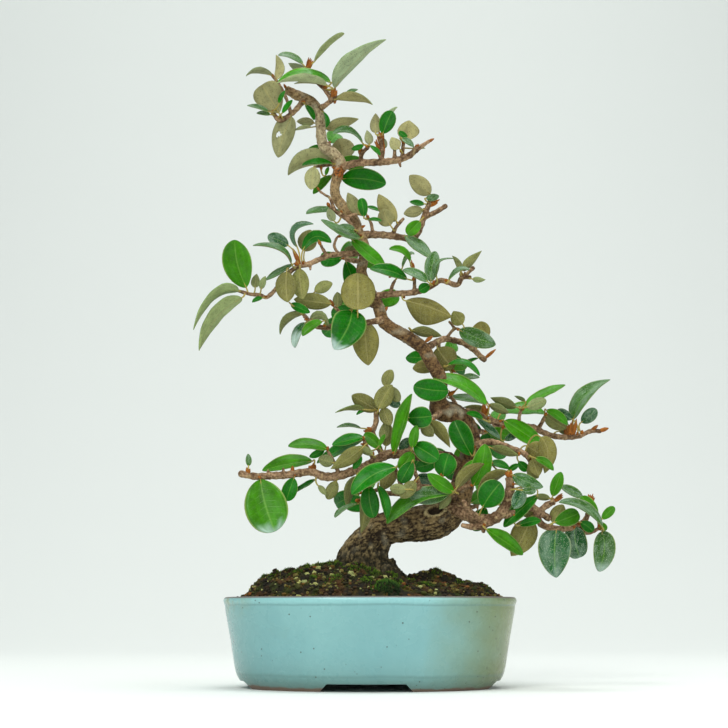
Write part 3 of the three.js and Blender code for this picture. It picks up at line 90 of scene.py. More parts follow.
# What each branch or spray bears, as (x, z) places seen from the front: its wood, its buds as foot,
# tip and radius, and its leaves as kind, width that shows, base, sometimes a middle, and tip.
# Kinds: B bright, D dark, G greyish, K dark and scaly, U seen from below, Y young and from below.
# The thin leaves, edge-on or partly hidden, are too fine for the solids.
SPRAYS = {
    "branch_left_low": {
        "wood": [
            [
                (63, 141, 6, 4), (51, 149, 0, 3.6), (40, 149.5, -4, 3.5), (28, 150, -8, 3.4),
                (18, 151, -10, 3.3), (10, 150, -12, 3.2), (-2, 143, -14, 3), (-10, 140, -15, 2.9),
                (-20, 136.5, -17, 2.8), (-30, 136, -18, 2.8), (-38, 139, -19, 2.6),
                (-45, 138.5, -20, 2.6), (-55, 137, -21, 2.5), (-65, 136.5, -22, 2.4),
                (-75, 136, -23, 2.3), (-86, 138, -24, 2.2),
            ],
            [(-20, 137, -17, 1.6), (-24, 146, -20, 1.2), (-28, 153, -21, 1)],
            [(3, 146, -13, 1.7), (-1, 154, -17, 1.3), (-4, 160, -19, 1.1)],
            [(-57, 137, -21, 1.3), (-57, 141.5, -22, 0.7)],
            [(-67, 137, -22, 1.3), (-67, 140.5, -23, 0.7)],
        ],
        "buds": [(-80, 137, -80, 142, 1.7), (-38, 140, -38, 145, 2.2), (-51, 138, -51, 143, 1.2)],
        "leaves": [
            ("B", 27, -72, 134, -68.5, 117, -62, 100), ("D", 10, -50, 135, -55, 120),
            ("U", 8, -22, 133, -28, 121), ("U", 7, -9, 136, -15, 115), ("D", 5, -6, 150, -11, 141),
            ("B", 8, 7, 154, -4, 164), ("D", 7, -4, 162, -25, 157), ("D", 7, -5, 160, -35, 145),
            ("U", 10, -5, 155, -26, 141), ("Y", 5, 2, 150, -10, 155), ("B", 7, -28, 154, -54, 156),
            ("D", 5, -30, 154, -40, 149), ("B", 9, -38, 146, -71, 140),
        ],
        "thin": [
            ("G", 4, -80, 143, -80.5, 151), ("D", 3, -36, 134, -51, 125), ("Y", 4, -34, 130, -29, 124),
            ("D", 3, -14, 146, -22, 141), ("B", 3, 6, 156, 10, 164), ("U", 8, -24, 145, -34, 148),
        ],
    },
    "spray_left_inner": {
        "wood": [
            [
                (9, 149, -12, 2.2), (5, 157, -10, 2), (2, 165, -9, 1.8), (4, 172, -9, 1.8),
                (4.5, 180, -9, 1.7), (7, 188, -9, 1.3), (10, 195, -9, 1.1),
            ],
        ],
        "buds": [(2, 165, -4, 167, 2.2), (5, 178, 3, 184, 1.8)],
        "leaves": [
            ("U", 11, 5, 180, -12, 190), ("U", 12, 6, 181, 15, 197), ("U", 8, 10, 196, 15, 207),
            ("U", 8, 13, 196, 20, 186), ("K", 6, 11, 186, 20, 183), ("U", 9, 9, 182, 14, 170),
            ("U", 7, 8, 160, 10, 173),
        ],
        "thin": [
            ("U", 3, -4, 180.5, -13.5, 180.5, -23, 178.3), ("D", 2.5, 0, 181, -9, 177),
            ("G", 2.5, -6, 168, -22, 168.5), ("U", 8.5, 10.5, 156, 12, 173),
        ],
    },
    "spray_centre_upper": {
        "wood": [
            [
                (47, 179, -2, 2.4), (41, 174, -12, 1.8), (33, 170, -17, 1.6), (28, 160, -19, 1.5),
                (26, 154, -18, 1.4), (18, 152, -18, 1.2),
            ],
        ],
        "buds": [(33, 171, 31, 175, 1.5)],
        "leaves": [
            ("B", 8, 16, 151, 28, 191), ("D", 14, 25, 175, 41, 176), ("B", 6.5, 28, 155, 31, 170),
            ("D", 13, 29, 157, 45, 147), ("B", 10, 28, 152, 20, 140), ("U", 8, 40, 173, 53, 155),
        ],
        "thin": [("K", 8, 19.5, 153, 27, 161.5), ("U", 8, 34, 170, 42, 162.5)],
    },
    "spray_centre_lower": {
        "wood": [
            [
                (57, 121, -2, 3.2), (50, 125, -12, 2.3), (42, 128, -17, 2), (33, 129, -20, 1.8),
                (23, 125, -22, 1.7), (12, 125, -23, 1.5), (5, 128, -23, 1.3),
            ],
            [(42, 128, -17, 1.6), (46, 134, -19, 1.3)],
            [(33, 129, -20, 1.5), (30, 138, -22, 1.3), (28, 145, -23, 1.1)],
            [(23, 125, -22, 1.5), (19, 134, -23, 1.3), (17, 141, -24, 1.1)],
            [(52, 124, -9, 1.7), (60, 128, -13, 1.4), (68, 131, -14, 1.2)],
            [(6, 127.5, -23, 1.3), (-2, 125, -22, 1.1), (-8, 119, -21, 0.9)],
        ],
        "buds": [(46, 134, 48, 138, 1.5)],
        "leaves": [
            ("B", 13, 68, 130, 76, 157.5), ("B", 5, 60, 139, 76, 146), ("D", 15, 48, 136, 52, 151),
            ("B", 9, 55, 126, 38, 138), ("G", 12, 52, 126, 25, 124), ("B", 9, 53, 125, 11, 105),
            ("D", 12, 17, 142, -12, 124), ("D", 10, 28, 146, 20, 132), ("U", 9, 30, 133, 20, 122),
            ("D", 12, -0.5, 130, 2.5, 109), ("D", 6, 5, 130, 11, 108), ("U", 8, -4, 124, -6, 99),
        ],
        "thin": [
            ("G", 3, -8, 118, -17, 114.5, -23, 109), ("U", 8, 57, 128.5, 75.5, 144.5),
            ("U", 6, 53, 124, 45.5, 114.5), ("U", 10, 17.4, 142.5, 8, 127),
            ("U", 7, 24, 127.5, 13, 128.5), ("K", 11, 50, 127, 30.5, 136),
        ],
    },
    "branch_right_low": {
        "wood": [
            [
                (50, 112.5, -5, 5), (57, 114, -9, 4.6), (63, 111, -13, 4.2), (72, 107.5, -17, 4),
                (80, 108, -20, 3.8), (86, 112, -22, 3.6), (90, 119, -23, 3.4), (92, 127, -24, 3.1),
                (92, 135, -25, 2.7),
            ],
            [(80, 107, -20, 3), (70, 103, -22, 2.3), (60, 104, -23, 1.5)],
            [(76, 105, -20, 1.8), (74, 99.5, -22, 1.1)],
            [(73, 108, -18, 2.2), (69, 109, -21, 2.1), (65, 114, -24, 2), (61, 120, -25, 1.7)],
        ],
        "buds": [(92, 134, 91, 140, 2)],
        "leaves": [
            ("D", 17, 74, 116, 86, 132), ("U", 7, 91, 139, 70, 124), ("G", 9, 94, 137, 114, 129),
            ("D", 9, 110, 123, 87.5, 103), ("K", 9, 100, 128, 94, 115), ("G", 5, 100, 127, 109, 127),
            ("B", 9, 76, 101.5, 100, 85),
        ],
        "thin": [],
    },
    "branch_right_outer": {
        "wood": [
            [
                (84, 111, -22, 2.9), (97, 112, -20, 2.6), (105, 116, -18, 2.5), (112, 112, -17, 2.4),
                (118, 108, -16, 2.1),
            ],
            [
                (109, 113, -17.5, 2.3), (112, 105, -18, 2.2), (120, 102, -17, 2.2),
                (130, 102, -16, 2.1), (138, 105, -15, 2), (142, 109, -14, 1.7), (144, 117, -13, 1.3),
            ],
            [(111, 113, -17, 1.9), (116, 117, -16, 2.2), (121, 119.5, -16, 1.9)],
            [(138, 105, -15, 1.6), (142, 99, -16, 1.4), (150, 102, -16, 1.2)],
        ],
        "buds": [(121, 119.5, 127, 124, 1.7), (144, 117, 143, 124, 1.9), (144, 117, 147.5, 124, 1.6)],
        "leaves": [
            ("B", 8, 120, 123, 126, 139), ("G", 6, 140, 122, 125, 130), ("B", 9, 149, 110, 139, 123),
            ("B", 6, 152, 108, 160.5, 116), ("G", 6, 152, 103, 140, 115, 124, 119),
            ("B", 5, 150, 106, 155, 101), ("B", 11, 121, 106, 137, 112), ("U", 17, 105, 108, 92, 84),
            ("K", 21, 122, 101, 121.5, 70), ("K", 15, 134, 103, 137, 83), ("G", 14, 152, 100, 149, 74),
            ("D", 6, 98, 104, 112, 107), ("D", 7, 138, 106, 146, 100),
        ],
        "thin": [
            ("U", 4.5, 118.5, 121.5, 107, 123.5), ("U", 8, 111.5, 110.5, 97, 113.5),
            ("U", 10, 120, 105.5, 127, 117.5),
        ],
    },
    "branch_right_long": {
        "wood": [
            [
                (50, 179, 2, 3.6), (58, 178, 8, 3.2), (68, 178, 10, 2.8), (78, 174, 11, 2.6),
                (88, 170.5, 13, 2.4), (98, 169, 14, 2.3), (108, 168.5, 15, 2.2), (115, 165, 16, 2),
                (123, 162.5, 17, 2), (132, 162, 18, 1.9), (139, 163, 19, 1.7), (146, 166, 20, 1.6),
                (153, 166, 21, 1.3),
            ],
            [(111, 167, 15, 1.7), (114, 172, 13, 1.4), (116, 176, 12, 1.2)],
            [(99, 169, 14, 1.5), (99, 176, 11, 1.2), (101, 182, 9, 1)],
            [(57, 178, 7, 1.7), (57, 184, 12, 1.4), (53, 190, 14, 1.2)],
        ],
        "buds": [
            (76, 174, 77, 184, 2.3), (131, 162, 131, 172, 2.2), (134, 164, 135, 174, 2),
            (152, 166, 158, 168, 1.3), (146, 166, 151, 170, 1.2),
        ],
        "leaves": [
            ("U", 5, 78, 178, 62, 182), ("U", 6, 79, 184, 92, 178), ("U", 7, 97, 182, 80, 188.5),
            ("B", 5, 90, 178.5, 116, 178), ("B", 6, 102, 182, 130, 197), ("Y", 8, 104, 182, 117, 187),
            ("B", 12, 89, 173, 114, 156), ("K", 5, 71, 174, 86, 161), ("K", 5, 89, 160, 98, 165),
            ("U", 10, 116, 177, 130, 168), ("B", 6, 117, 180, 131, 170), ("U", 6, 125, 166, 137, 167),
            ("K", 7, 134, 174, 124, 180), ("G", 10, 135, 174, 143.5, 190, 160, 200.5),
            ("K", 9, 140, 172, 150, 181), ("D", 15, 52, 193, 29, 196), ("B", 9, 77, 184, 42, 202),
            ("G", 5, 52, 188, 77, 184),
        ],
        "thin": [
            ("D", 4, 75, 174, 64, 178), ("U", 2.5, 103, 186, 96, 189.5), ("U", 4, 66, 194, 79, 184),
        ],
    },
    "spray_right_under": {
        "wood": [
            [
                (64, 158, 6, 3), (70, 157, -3, 2.4), (78, 159, -6, 2.2), (86, 157.5, -9, 2),
                (95, 154, -11, 2), (102, 151, -12, 1.9), (106, 146, -13, 1.6),
            ],
            [(73, 158, -5, 1.6), (76, 151, -9, 1.3), (79, 146, -11, 1.1)],
        ],
        "buds": [(106, 146, 108, 141, 1.5)],
        "leaves": [
            ("U", 6, 80, 155, 98, 150), ("U", 14, 104, 156, 116, 148),
            ("U", 12, 113, 162, 117.5, 152, 115, 138), ("U", 8, 105, 143, 111, 135),
            ("B", 5, 109, 148, 121, 140), ("D", 6, 98, 146, 104, 140), ("D", 5, 79, 145, 92, 141),
            ("D", 15, 67, 150, 56, 173),
        ],
        "thin": [("D", 4, 91, 140, 98, 144), ("U", 10, 107, 147.5, 111, 136)],
    },
    "spray_right_inner": {
        "wood": [
            [
                (37, 221, -2, 3), (43, 225, 4, 2.3), (50, 228, 8, 2.2), (56, 227, 11, 2.1),
                (63, 225, 14, 2.1), (70, 220, 16, 2), (74, 216, 17, 2), (77, 213.5, 18, 2),
            ],
            [(51, 228, 8, 1.2), (57, 235, 6, 1), (64, 232, 4, 0.9)],
            [(57, 235, 6, 1), (53, 240, 6, 0.9)],
            [(46, 226, 6, 1.3), (47, 217, 10, 1.1), (52, 210, 11, 1)],
        ],
        "buds": [(76, 215, 84, 221, 1.3), (52, 210, 57, 204, 1.4)],
        "leaves": [
            ("U", 10, 62, 238, 56, 247), ("U", 13, 73, 226, 74, 240), ("G", 12.5, 60, 234, 84, 224),
            ("U", 7, 28, 234, 48, 230), ("U", 18, 45, 222, 56, 208), ("U", 10, 47, 213, 28.5, 208),
        ],
        "thin": [
            ("D", 2.5, 72, 215, 62, 210), ("D", 4, 52, 210, 63, 211, 73, 203),
            ("G", 4, 60, 202, 73, 202),
        ],
    },
    "spray_left_middle": {
        "wood": [
            [
                (8, 241, -6, 2.6), (3, 240, -8, 2.2), (-3, 239, -8, 2), (-10, 240, -8, 2),
                (-18, 238.5, -9, 2), (-27, 236, -10, 1.9), (-33, 236, -11, 1.8), (-38, 238, -12, 1.7),
                (-44, 244, -13, 1.3),
            ],
            [(-15, 239.5, -9, 1.5), (-20, 246, -8, 1.2), (-24, 250, -8, 1)],
        ],
        "buds": [(-44, 243, -47, 248, 1.4), (-24, 250, -27, 255, 1.3)],
        "leaves": [
            ("D", 22, -12, 247, -24, 221), ("U", 23, -8, 248, -8, 273), ("U", 18, -4, 240, -1, 210),
            ("U", 11, -26, 252, -51, 255), ("U", 8, -37, 260, -25, 266), ("U", 7, -22, 250, -22, 260),
            ("D", 6, -53, 252, -40, 246), ("U", 5, -45, 245, -55, 241, -60, 231),
            ("K", 6, -43, 239, -48, 232, -50, 222), ("B", 6, -32, 240, -45, 230),
            ("U", 6, -40, 240, -33, 244, -27, 236),
        ],
        "thin": [],
    },
    "spray_right_middle": {
        "wood": [
            [
                (2, 257, -6, 2.8), (9, 258, -7, 2.3), (20, 259, -8, 2.1), (28, 259.5, -9, 2.1),
                (36, 261.5, -10, 2), (42, 264.5, -11, 2), (48, 268, -12, 1.9), (57, 265, -13, 1.8),
                (60, 266, -13, 1.8), (62, 270, -13, 1.6), (68, 270, -14, 1.3),
            ],
            [(14, 258.5, -7, 1.5), (15, 264, -9, 1.2), (17, 268, -10, 1)],
            [(30, 260, -9, 1.5), (30, 268, -10, 1.2), (29, 277, -11, 1)],
            [(63, 270, -13, 1.3), (67, 274, -13, 1.2), (70, 277, -13, 1.5)],
        ],
        "buds": [(29, 276, 28, 282, 1.5)],
        "leaves": [
            ("D", 8, 25, 269, 0, 276), ("G", 6, 39, 267, 22, 275), ("D", 7, 40, 265, 33, 261),
            ("G", 10, 41, 267, 44.5, 288), ("U", 6, 62, 275, 75.5, 288.5), ("U", 16, 24, 254, 55, 243),
        ],
        "thin": [
            ("B", 4.5, 27, 281, 22, 288, 13, 289.5), ("G", 2.5, 22, 277, 26, 285, 30, 286),
            ("G", 2.5, 45, 270, 46, 280, 57, 283), ("U", 4, 61, 275, 55.5, 285),
            ("G", 3, 53, 268, 60, 275, 67, 275), ("U", 4, 69, 269, 78, 268.5),
        ],
    },
    "spray_left_high": {
        "wood": [
            [
                (-3, 287.5, -4, 2.4), (-12, 286.5, -8, 2.1), (-20, 286, -9, 1.9), (-28, 285, -11, 1.9),
                (-35, 282, -12, 1.8), (-42, 279, -13, 1.8), (-48, 277.5, -14, 1.7),
                (-54, 273.5, -15, 1.6), (-58, 267, -16, 1.5), (-63, 262, -17, 1.5),
                (-69, 256.5, -18, 1.4), (-74, 258, -19, 1.3), (-80, 258.5, -20, 1.3),
                (-89, 261, -21, 1.1),
            ],
            [(-27, 285, -11, 1.4), (-30, 287, -12, 1.2), (-33, 292, -13, 1)],
            [(-21, 286, -9, 1.2), (-24, 292, -8, 1), (-22, 298, -7, 0.9)],
            [(-40, 280, -13, 1.3), (-40, 275, -13, 0.7)],
        ],
        "buds": [(-47, 278, -52, 290, 1.34), (-33, 292, -35, 296, 1.2)],
        "leaves": [
            ("B", 19, -83, 263, -89.3, 280, -91, 296), ("Y", 6, -88, 261, -104.5, 255.5, -118, 234),
            ("Y", 10, -86, 256, -102.5, 241.5, -114, 220), ("U", 14, -56, 274, -55, 253),
            ("U", 12, -47, 276, -45, 255), ("B", 9, -12, 296, 10.5, 277), ("U", 8, -8, 287, -17, 290),
            ("D", 8, -45, 289, -37, 298, -26, 294), ("U", 13, -44, 288, -40, 303),
            ("K", 9, -55, 292, -69, 298.5), ("U", 6, -77, 263, -76, 272.5),
        ],
        "thin": [
            ("K", 4, -49, 291, -50, 303, -38, 307), ("G", 3, -53, 280, -62, 289, -79, 292),
            ("U", 4.5, -73, 262, -70, 271), ("D", 3, -72, 256, -79, 253), ("G", 4, -52, 279, -70, 268),
        ],
    },
    "spray_right_high": {
        "wood": [
            [
                (-8, 300, -1, 3), (0, 299.5, 2, 2.6), (8, 299.5, 4, 2.5), (16, 298.5, 6, 2.4),
                (22, 297.5, 7, 2.3), (29, 297, 8, 2.4), (33, 302, 8, 2.3), (36, 310, 7, 2.2),
                (39, 318, 6, 2), (41, 323, 6, 1.7),
            ],
            [(15, 299, 6, 1.6), (18, 305, 5, 1.3), (23, 311, 4, 1.1)],
            [(36, 311, 7, 1.9), (40, 313, 6, 1.8), (46, 316, 5, 1.7), (52, 320, 4, 1.6)],
            [(2, 300, 2, 1.4), (1, 307, 3, 1.1), (-2, 313, 3, 0.9)],
        ],
        "buds": [(40, 319, 47.5, 325, 1.9)],
        "leaves": [
            ("U", 11, 18, 309, 6, 328), ("U", 12, 14, 306, 9, 318), ("U", 8, 36, 317, 23, 314),
            ("B", 9, 34, 309, 25, 300), ("G", 8, 24, 299, 42, 283), ("U", 12, 41, 328, 27, 341),
            ("G", 5, 38, 325, 47, 326.5),
        ],
        "thin": [
            ("D", 4, 37, 321, 27, 322.5), ("D", 2.5, -2, 319, 7, 316), ("D", 2.5, -1, 310, 8, 309),
        ],
    },
    "spray_collar": {
        "wood": [
            [(-11, 309.5, 0, 2.2), (-16, 311, -6, 1.7), (-22, 315, -8, 1.5), (-27, 319, -9, 1.2)],
            [(-24, 317, -8.5, 1.3), (-27, 325, -7, 1), (-30, 327, -6, 0.9), (-34, 330, -5, 0.8)],
            [(-16, 311, -6, 1.5), (-12, 306, -9, 1.2), (-7, 298, -9, 1)],
            [(-16, 311, -6, 1.4), (-9, 314, -6, 1.1), (-4, 313, -5, 0.9)],
        ],
        "buds": [(-34, 330, -36, 333, 1), (-27, 319, -29, 322, 1.2)],
        "leaves": [
            ("U", 9, -7, 314, -15, 329), ("D", 7, -4, 312, -6, 325), ("U", 6, -24, 309, -28, 318),
            ("G", 6, -6, 297, -18, 300, -33, 310), ("G", 5, -10, 303, -21, 306),
        ],
        "thin": [("G", 4, -20, 316, -33.5, 315.5, -43, 314)],
    },
    "spray_upper_right": {
        "wood": [
            [
                (-20, 346, 2, 2.8), (-10, 349.5, -3, 2.6), (0, 350, -5, 2.5), (10, 350.5, -8, 2.4),
                (20, 352, -10, 2.3), (27, 355, -12, 2.2), (31, 358.5, -13, 2), (36, 362, -14, 1.5),
                (41, 365.5, -15, 1.1),
            ],
            [(20, 351, -10, 1.3), (21, 347, -12, 0.7)],
            [(-6, 350, -4, 1.7), (-5.5, 356, -7, 1.5), (-1, 361, -9, 1.3)],
            [(8, 351, -8, 1.9), (8, 361, -10, 1.7), (7, 369, -11, 1.5)],
            [(17, 352, -9, 1.5), (17, 359, -11, 1.2)],
            [(22, 353, -11, 1.5), (23, 364, -13, 1.2)],
        ],
        "buds": [
            (7, 362, 7, 374, 2.2), (7.6, 352, 7.3, 366, 1.3), (7, 359, 3.2, 365, 1.2),
            (-5.5, 355, -7, 361, 1.8), (31, 359, 33, 363.5, 1.4), (40, 365, 44, 367, 1.1),
            (8, 352.5, 6.8, 368, 2.6),
        ],
        "leaves": [
            ("U", 15, 27, 366, 27, 380), ("D", 11, 9, 370.5, 15.5, 386.5), ("U", 8, 4, 371, 4, 385),
            ("U", 6, 0, 363, -2, 373), ("U", 8, 20, 360, 15, 368),
        ],
        "thin": [
            ("G", 4, -5, 364, -14.5, 372, -25, 370.5), ("D", 4, -4, 362.5, -12.5, 359.5),
            ("Y", 3, 11, 375, 19, 389.5), ("D", 3, 0, 362, 7, 355), ("U", 4, 10, 360, 10, 367),
            ("D", 4, 26, 368, 20, 372), ("G", 4, 22, 367, 30, 361), ("U", 2.5, 29, 360, 38, 360),
        ],
    },
    "spray_shoulder": {
        "wood": [
            [
                (-34, 383, 1, 2), (-33, 377, 7, 1.5), (-33, 367, 9, 1.4), (-27, 358, 10, 1.4),
                (-21, 350, 10, 1.4), (-22, 341, 9, 1.4), (-24, 334, 8, 1.2),
            ],
            [(-22, 349, 10, 1.3), (-30, 348, 3, 1.1), (-37, 347, -3, 0.9)],
        ],
        "buds": [(-22, 345, -16, 344, 1.5)],
        "leaves": [
            ("D", 15, -19, 338.5, -4, 338.5, 11, 335), ("U", 18, -18, 353, -21, 367),
            ("U", 12, -24, 349, -42, 352, -55.5, 341), ("U", 11, -38, 347, -40, 331),
            ("U", 8, -30, 374, -7.5, 381), ("U", 6, -38, 378, -50, 379),
            ("B", 6, -26, 341, -38.5, 328),
        ],
        "thin": [
            ("D", 3, -32, 386, -30, 375), ("U", 2.5, -40, 375, -52, 372.5),
            ("B", 4, -34, 358, -46, 350.5, -55.5, 341), ("D", 4, -25, 349, -46, 348),
            ("B", 2.5, -30, 341, -28, 347),
        ],
    },
    "spray_crown_left": {
        "wood": [
            [
                (-44, 396, 1, 2.2), (-52, 386, -4, 1.8), (-61, 380, -7, 1.7), (-66, 385, -8, 1.5),
                (-70, 391, -8, 1.3), (-75, 394, -8, 1.1),
            ],
            [(-54, 385, -5, 1.4), (-57, 395, -9, 1.2), (-62, 405, -8, 1.2), (-67, 412, -6, 1)],
        ],
        "buds": [(-67, 411, -72, 416.5, 1.3), (-70, 391, -68, 396, 1.2), (-75, 394, -79, 396, 1.1)],
        "leaves": [
            ("U", 20, -62, 385, -74, 405.5), ("U", 13, -54, 383, -62.5, 353.5),
            ("U", 6.5, -64, 409, -64.5, 427),
        ],
        "thin": [
            ("U", 4, -67, 412, -77, 414.5, -85, 411.5), ("D", 3.5, -60, 385, -53, 394.5),
            ("D", 3, -62, 392, -58, 401), ("G", 3, -69, 386, -84, 390.5),
            ("G", 3, -68, 384, -77.5, 385), ("D", 4, -44, 391, -38, 380),
        ],
    },
    "spray_crown_top": {
        "wood": [
            [(-35, 388, 0, 2.2), (-30, 391, -5, 1.8), (-25, 395, -7, 1.7), (-19, 396.5, -8, 1.4)],
            [(-26, 394, -7, 1.6), (-31, 402, -6, 1.4), (-38, 409, -5, 1.4), (-43, 416, -4, 1.3)],
        ],
        "buds": [(-25, 395, -24, 404, 1.9), (-43, 415, -40, 425, 1.9), (-19, 396.5, -14, 398, 1.2)],
        "leaves": [
            ("Y", 10, -24, 403, -9.5, 421, 11.5, 438), ("U", 5, -38, 422, -17.5, 442.5),
            ("B", 7, -27, 407, -43.5, 411, -63, 407), ("U", 6, -44, 416, -56, 421),
            ("U", 6, -23, 395, -9, 395.5, 2, 391),
        ],
        "thin": [
            ("Y", 5, -30, 405, -46, 408, -64, 406.5), ("U", 2.5, -28, 404, -52, 406),
            ("G", 4, -46, 420, -54.5, 425.5, -63, 426.5), ("G", 2.5, -16, 400, -8, 402),
        ],
    },
}

# Hidden shoots at the back: name, foot and end as (x, z, depth), number of leaves, and seed.
BACK_SHOOTS = [
    ("shoot_back_low_left", (8, 101, 0), (-4, 126, 50), 5, 11),
    ("shoot_back_low_right", (54, 115, 0), (82, 118, 46), 6, 23),
    ("shoot_back_centre", (63, 140, 8), (34, 150, 60), 6, 31),
    ("shoot_back_right", (66, 163, 9), (90, 167, 58), 5, 47),
    ("shoot_back_middle", (44, 205, 0), (48, 218, 44), 4, 53),
    ("shoot_back_left", (5, 250, -4), (-16, 246, 40), 5, 67),
    ("shoot_back_high", (-4, 280, -2), (-22, 284, 36), 4, 79),
    ("shoot_back_crown", (-22, 345, 3), (-30, 364, 34), 5, 97),
]
# Leaves of the back shoots: their lengths, and their width as a share of it.
BACK_SHORTEST = 19
BACK_LONGEST = 29
BACK_WIDTH = 0.5
GRID_STEP = 2.2
# How far a crowded blade is tried nearer or further, in this order.
SHIFTS = (0, -3, 3, -6, 6, -9, 9, -12, 12, -15, 15, -18, 18)


def plus(a, b):
    return (a[0] + b[0], a[1] + b[1], a[2] + b[2])


def minus(a, b):
    return (a[0] - b[0], a[1] - b[1], a[2] - b[2])


def times(a, k):
    return (a[0] * k, a[1] * k, a[2] * k)


def dot(a, b):
    return a[0] * b[0] + a[1] * b[1] + a[2] * b[2]


def span(a):
    return math.sqrt(dot(a, a))


def unit(a):
    return times(a, 1 / span(a))


def cross(a, b):
    return (a[1] * b[2] - a[2] * b[1], a[2] * b[0] - a[0] * b[2], a[0] * b[1] - a[1] * b[0])


def carry(held, start, end):
    """Turns the direction held by the shortest turn that takes one heading to another."""
    share = dot(held, end) / (1 + dot(start, end))
    return minus(held, times(plus(start, end), share))


def random_from(seed):
    state = seed

    def draw():
        nonlocal state
        state = (state * 16807) % 2147483647
        return state / 2147483647

    return draw


def seen(x, z, y):
    """A place on the tree, moved along the line of sight from EYE to its depth y."""
    far = (y - EYE[1]) / -EYE[1]
    return (EYE[0] + (x - EYE[0]) * far, y, EYE[2] + (z - EYE[2]) * far)


def stem_of(rows, spread=1.0):
    """A row list of wood as places with a radius."""
    return [seen(x, z, y * spread) + (radius,) for x, z, y, radius in rows]


def outline(t):
    """How wide a plain blade is at t, as a share of its width."""
    return math.pow(math.sin(math.pi * math.pow(t, 0.85)), 0.75)


def blade_at(leaf, t, s, wave=0.0, shape=outline):
    """The middle surface of a blade: t runs from base to tip, s from edge to edge."""
    base, bend, tip = leaf["base"], leaf["bend"], leaf["tip"]
    back = 1 - t
    on = plus(plus(times(base, back * back), times(bend, 2 * t * back)), times(tip, t * t))
    way = unit(plus(times(minus(bend, base), back), times(minus(tip, bend), t)))
    up = carry(leaf["up"], leaf["way"], way)
    across = cross(way, up)
    half = 0.5 * leaf["width"] * shape(t)
    ripple = leaf["ripple"] * math.sin(leaf["phase"] + 9 * t + 2 * s)
    ripple += wave * math.sin(2.7 * leaf["phase"] + 23 * t + 3 * s) * abs(s)
    lift = leaf["arch"] * leaf["length"] * 4 * t * back + (leaf["fold"] + ripple) * half * s * s
    return plus(plus(on, times(across, half * s)), times(up, lift)), up, way


def blade_for(kind, shown, base, middle, tip, draw):
    """A blade from base to tip that shows this much of its width to the eye."""
    way = unit(minus(tip, base))
    length = span(minus(tip, base))
    width = max(shown, LEAST_WIDTH_SHARE * length)
    sight = unit(minus(EYE, base))
    to_eye = unit(minus(sight, times(way, dot(sight, way))))
    sideways = cross(way, to_eye)
    roll = math.acos(min(shown / width, 1))
    face = -1 if kind in "UY" else 1
    if abs(sideways[2]) > 0.25:
        lean = math.copysign(1, sideways[2])
    else:
        lean = -1 if draw() < 0.5 else 1
    up = plus(times(to_eye, face * math.cos(roll)), times(sideways, lean * math.sin(roll)))
    halfway = times(plus(base, tip), 0.5)
    slack = times(sideways, (draw() - 0.5) * 0.12 * length)
    through = middle or plus(halfway, slack)
    leaf = {"kind": kind, "base": base, "tip": tip, "bend": minus(times(through, 2), halfway)}
    leaf.update(way=way, up=up, length=length, width=width)
    leaf["arch"] = (0.03 + 0.07 * draw()) * (0.3 if middle else 1)
    leaf["fold"] = 0.1 + 0.22 * draw()
    leaf["ripple"] = 0.05 + 0.09 * draw()
    leaf["phase"] = 6.28 * draw()
    return leaf


def moved(leaf, by):
    """The leaf pushed along the line of sight, away from the eye."""

    def shift(p):
        far = (p[1] + by - EYE[1]) / (p[1] - EYE[1])
        return (EYE[0] + (p[0] - EYE[0]) * far, p[1] + by, EYE[2] + (p[2] - EYE[2]) * far)

    out = dict(leaf)
    for end in ("base", "bend", "tip"):
        out[end] = shift(leaf[end])
    return out


blade_cells = {}
wood_lengths = []


def cell_at(p):
    return tuple(math.floor(v / BLADE_CLEAR) for v in p)


def blade_grid(leaf):
    """Places over a blade, close enough together to find what it touches."""
    rows = math.ceil(leaf["length"] / GRID_STEP)
    grid = []
    for i in range(1, rows + 1):
        t = i / rows
        columns = math.ceil((0.5 * leaf["width"] * outline(min(t, 0.999))) / GRID_STEP)
        for j in range(-columns, columns + 1):
            grid.append((t, blade_at(leaf, min(t, 0.999), j / columns if columns else 0)[0]))
    return grid


def near_blade(p):
    i, j, k = cell_at(p)
    for a in (i - 1, i, i + 1):
        for b in (j - 1, j, j + 1):
            for c in (k - 1, k, k + 1):
                for q in blade_cells.get((a, b, c), ()):
                    if span(minus(p, q)) < BLADE_CLEAR:
                        return True
    return False


def near_wood(p, t, owner, lengths):
    for start, end, radius, of in lengths:
        if of == owner and t < 0.3:
            continue
        along_it = minus(end, start)
        share = min(max(dot(minus(p, start), along_it) / dot(along_it, along_it), 0), 1)
        if span(minus(p, plus(start, times(along_it, share)))) < radius + WOOD_CLEAR:
            return True
    return False


def cleared(leaf, owner):
    """Moves a blade toward or away from the eye until it stands clear of what is there."""
    best = None
    for by in SHIFTS:
        tried = moved(leaf, by)
        grid = blade_grid(tried)
        middle = times(plus(tried["base"], tried["tip"]), 0.5)
        reach = 0.8 * leaf["length"] + 0.5 * leaf["width"] + WOOD_CLEAR
        lengths = [w for w in wood_lengths if within(middle, w, reach)]
        crowded = sum(1 for t, at in grid if near_blade(at) or near_wood(at, t, owner, lengths))
        if best is None or crowded < best[2]:
            best = (tried, grid, crowded)
        if not crowded:
            break
    for _, at in best[1]:
        blade_cells.setdefault(cell_at(at), []).append(at)
    return best[0]


def within(middle, wood, reach):
    start, end, radius, _ = wood
    centre = times(plus(start, end), 0.5)
    return span(minus(centre, middle)) < reach + radius + 0.5 * span(minus(end, start))


def add_wood(stem, owner):
    for a, b in zip(stem, stem[1:]):
        wood_lengths.append((a[:3], b[:3], max(a[3], b[3]), owner))


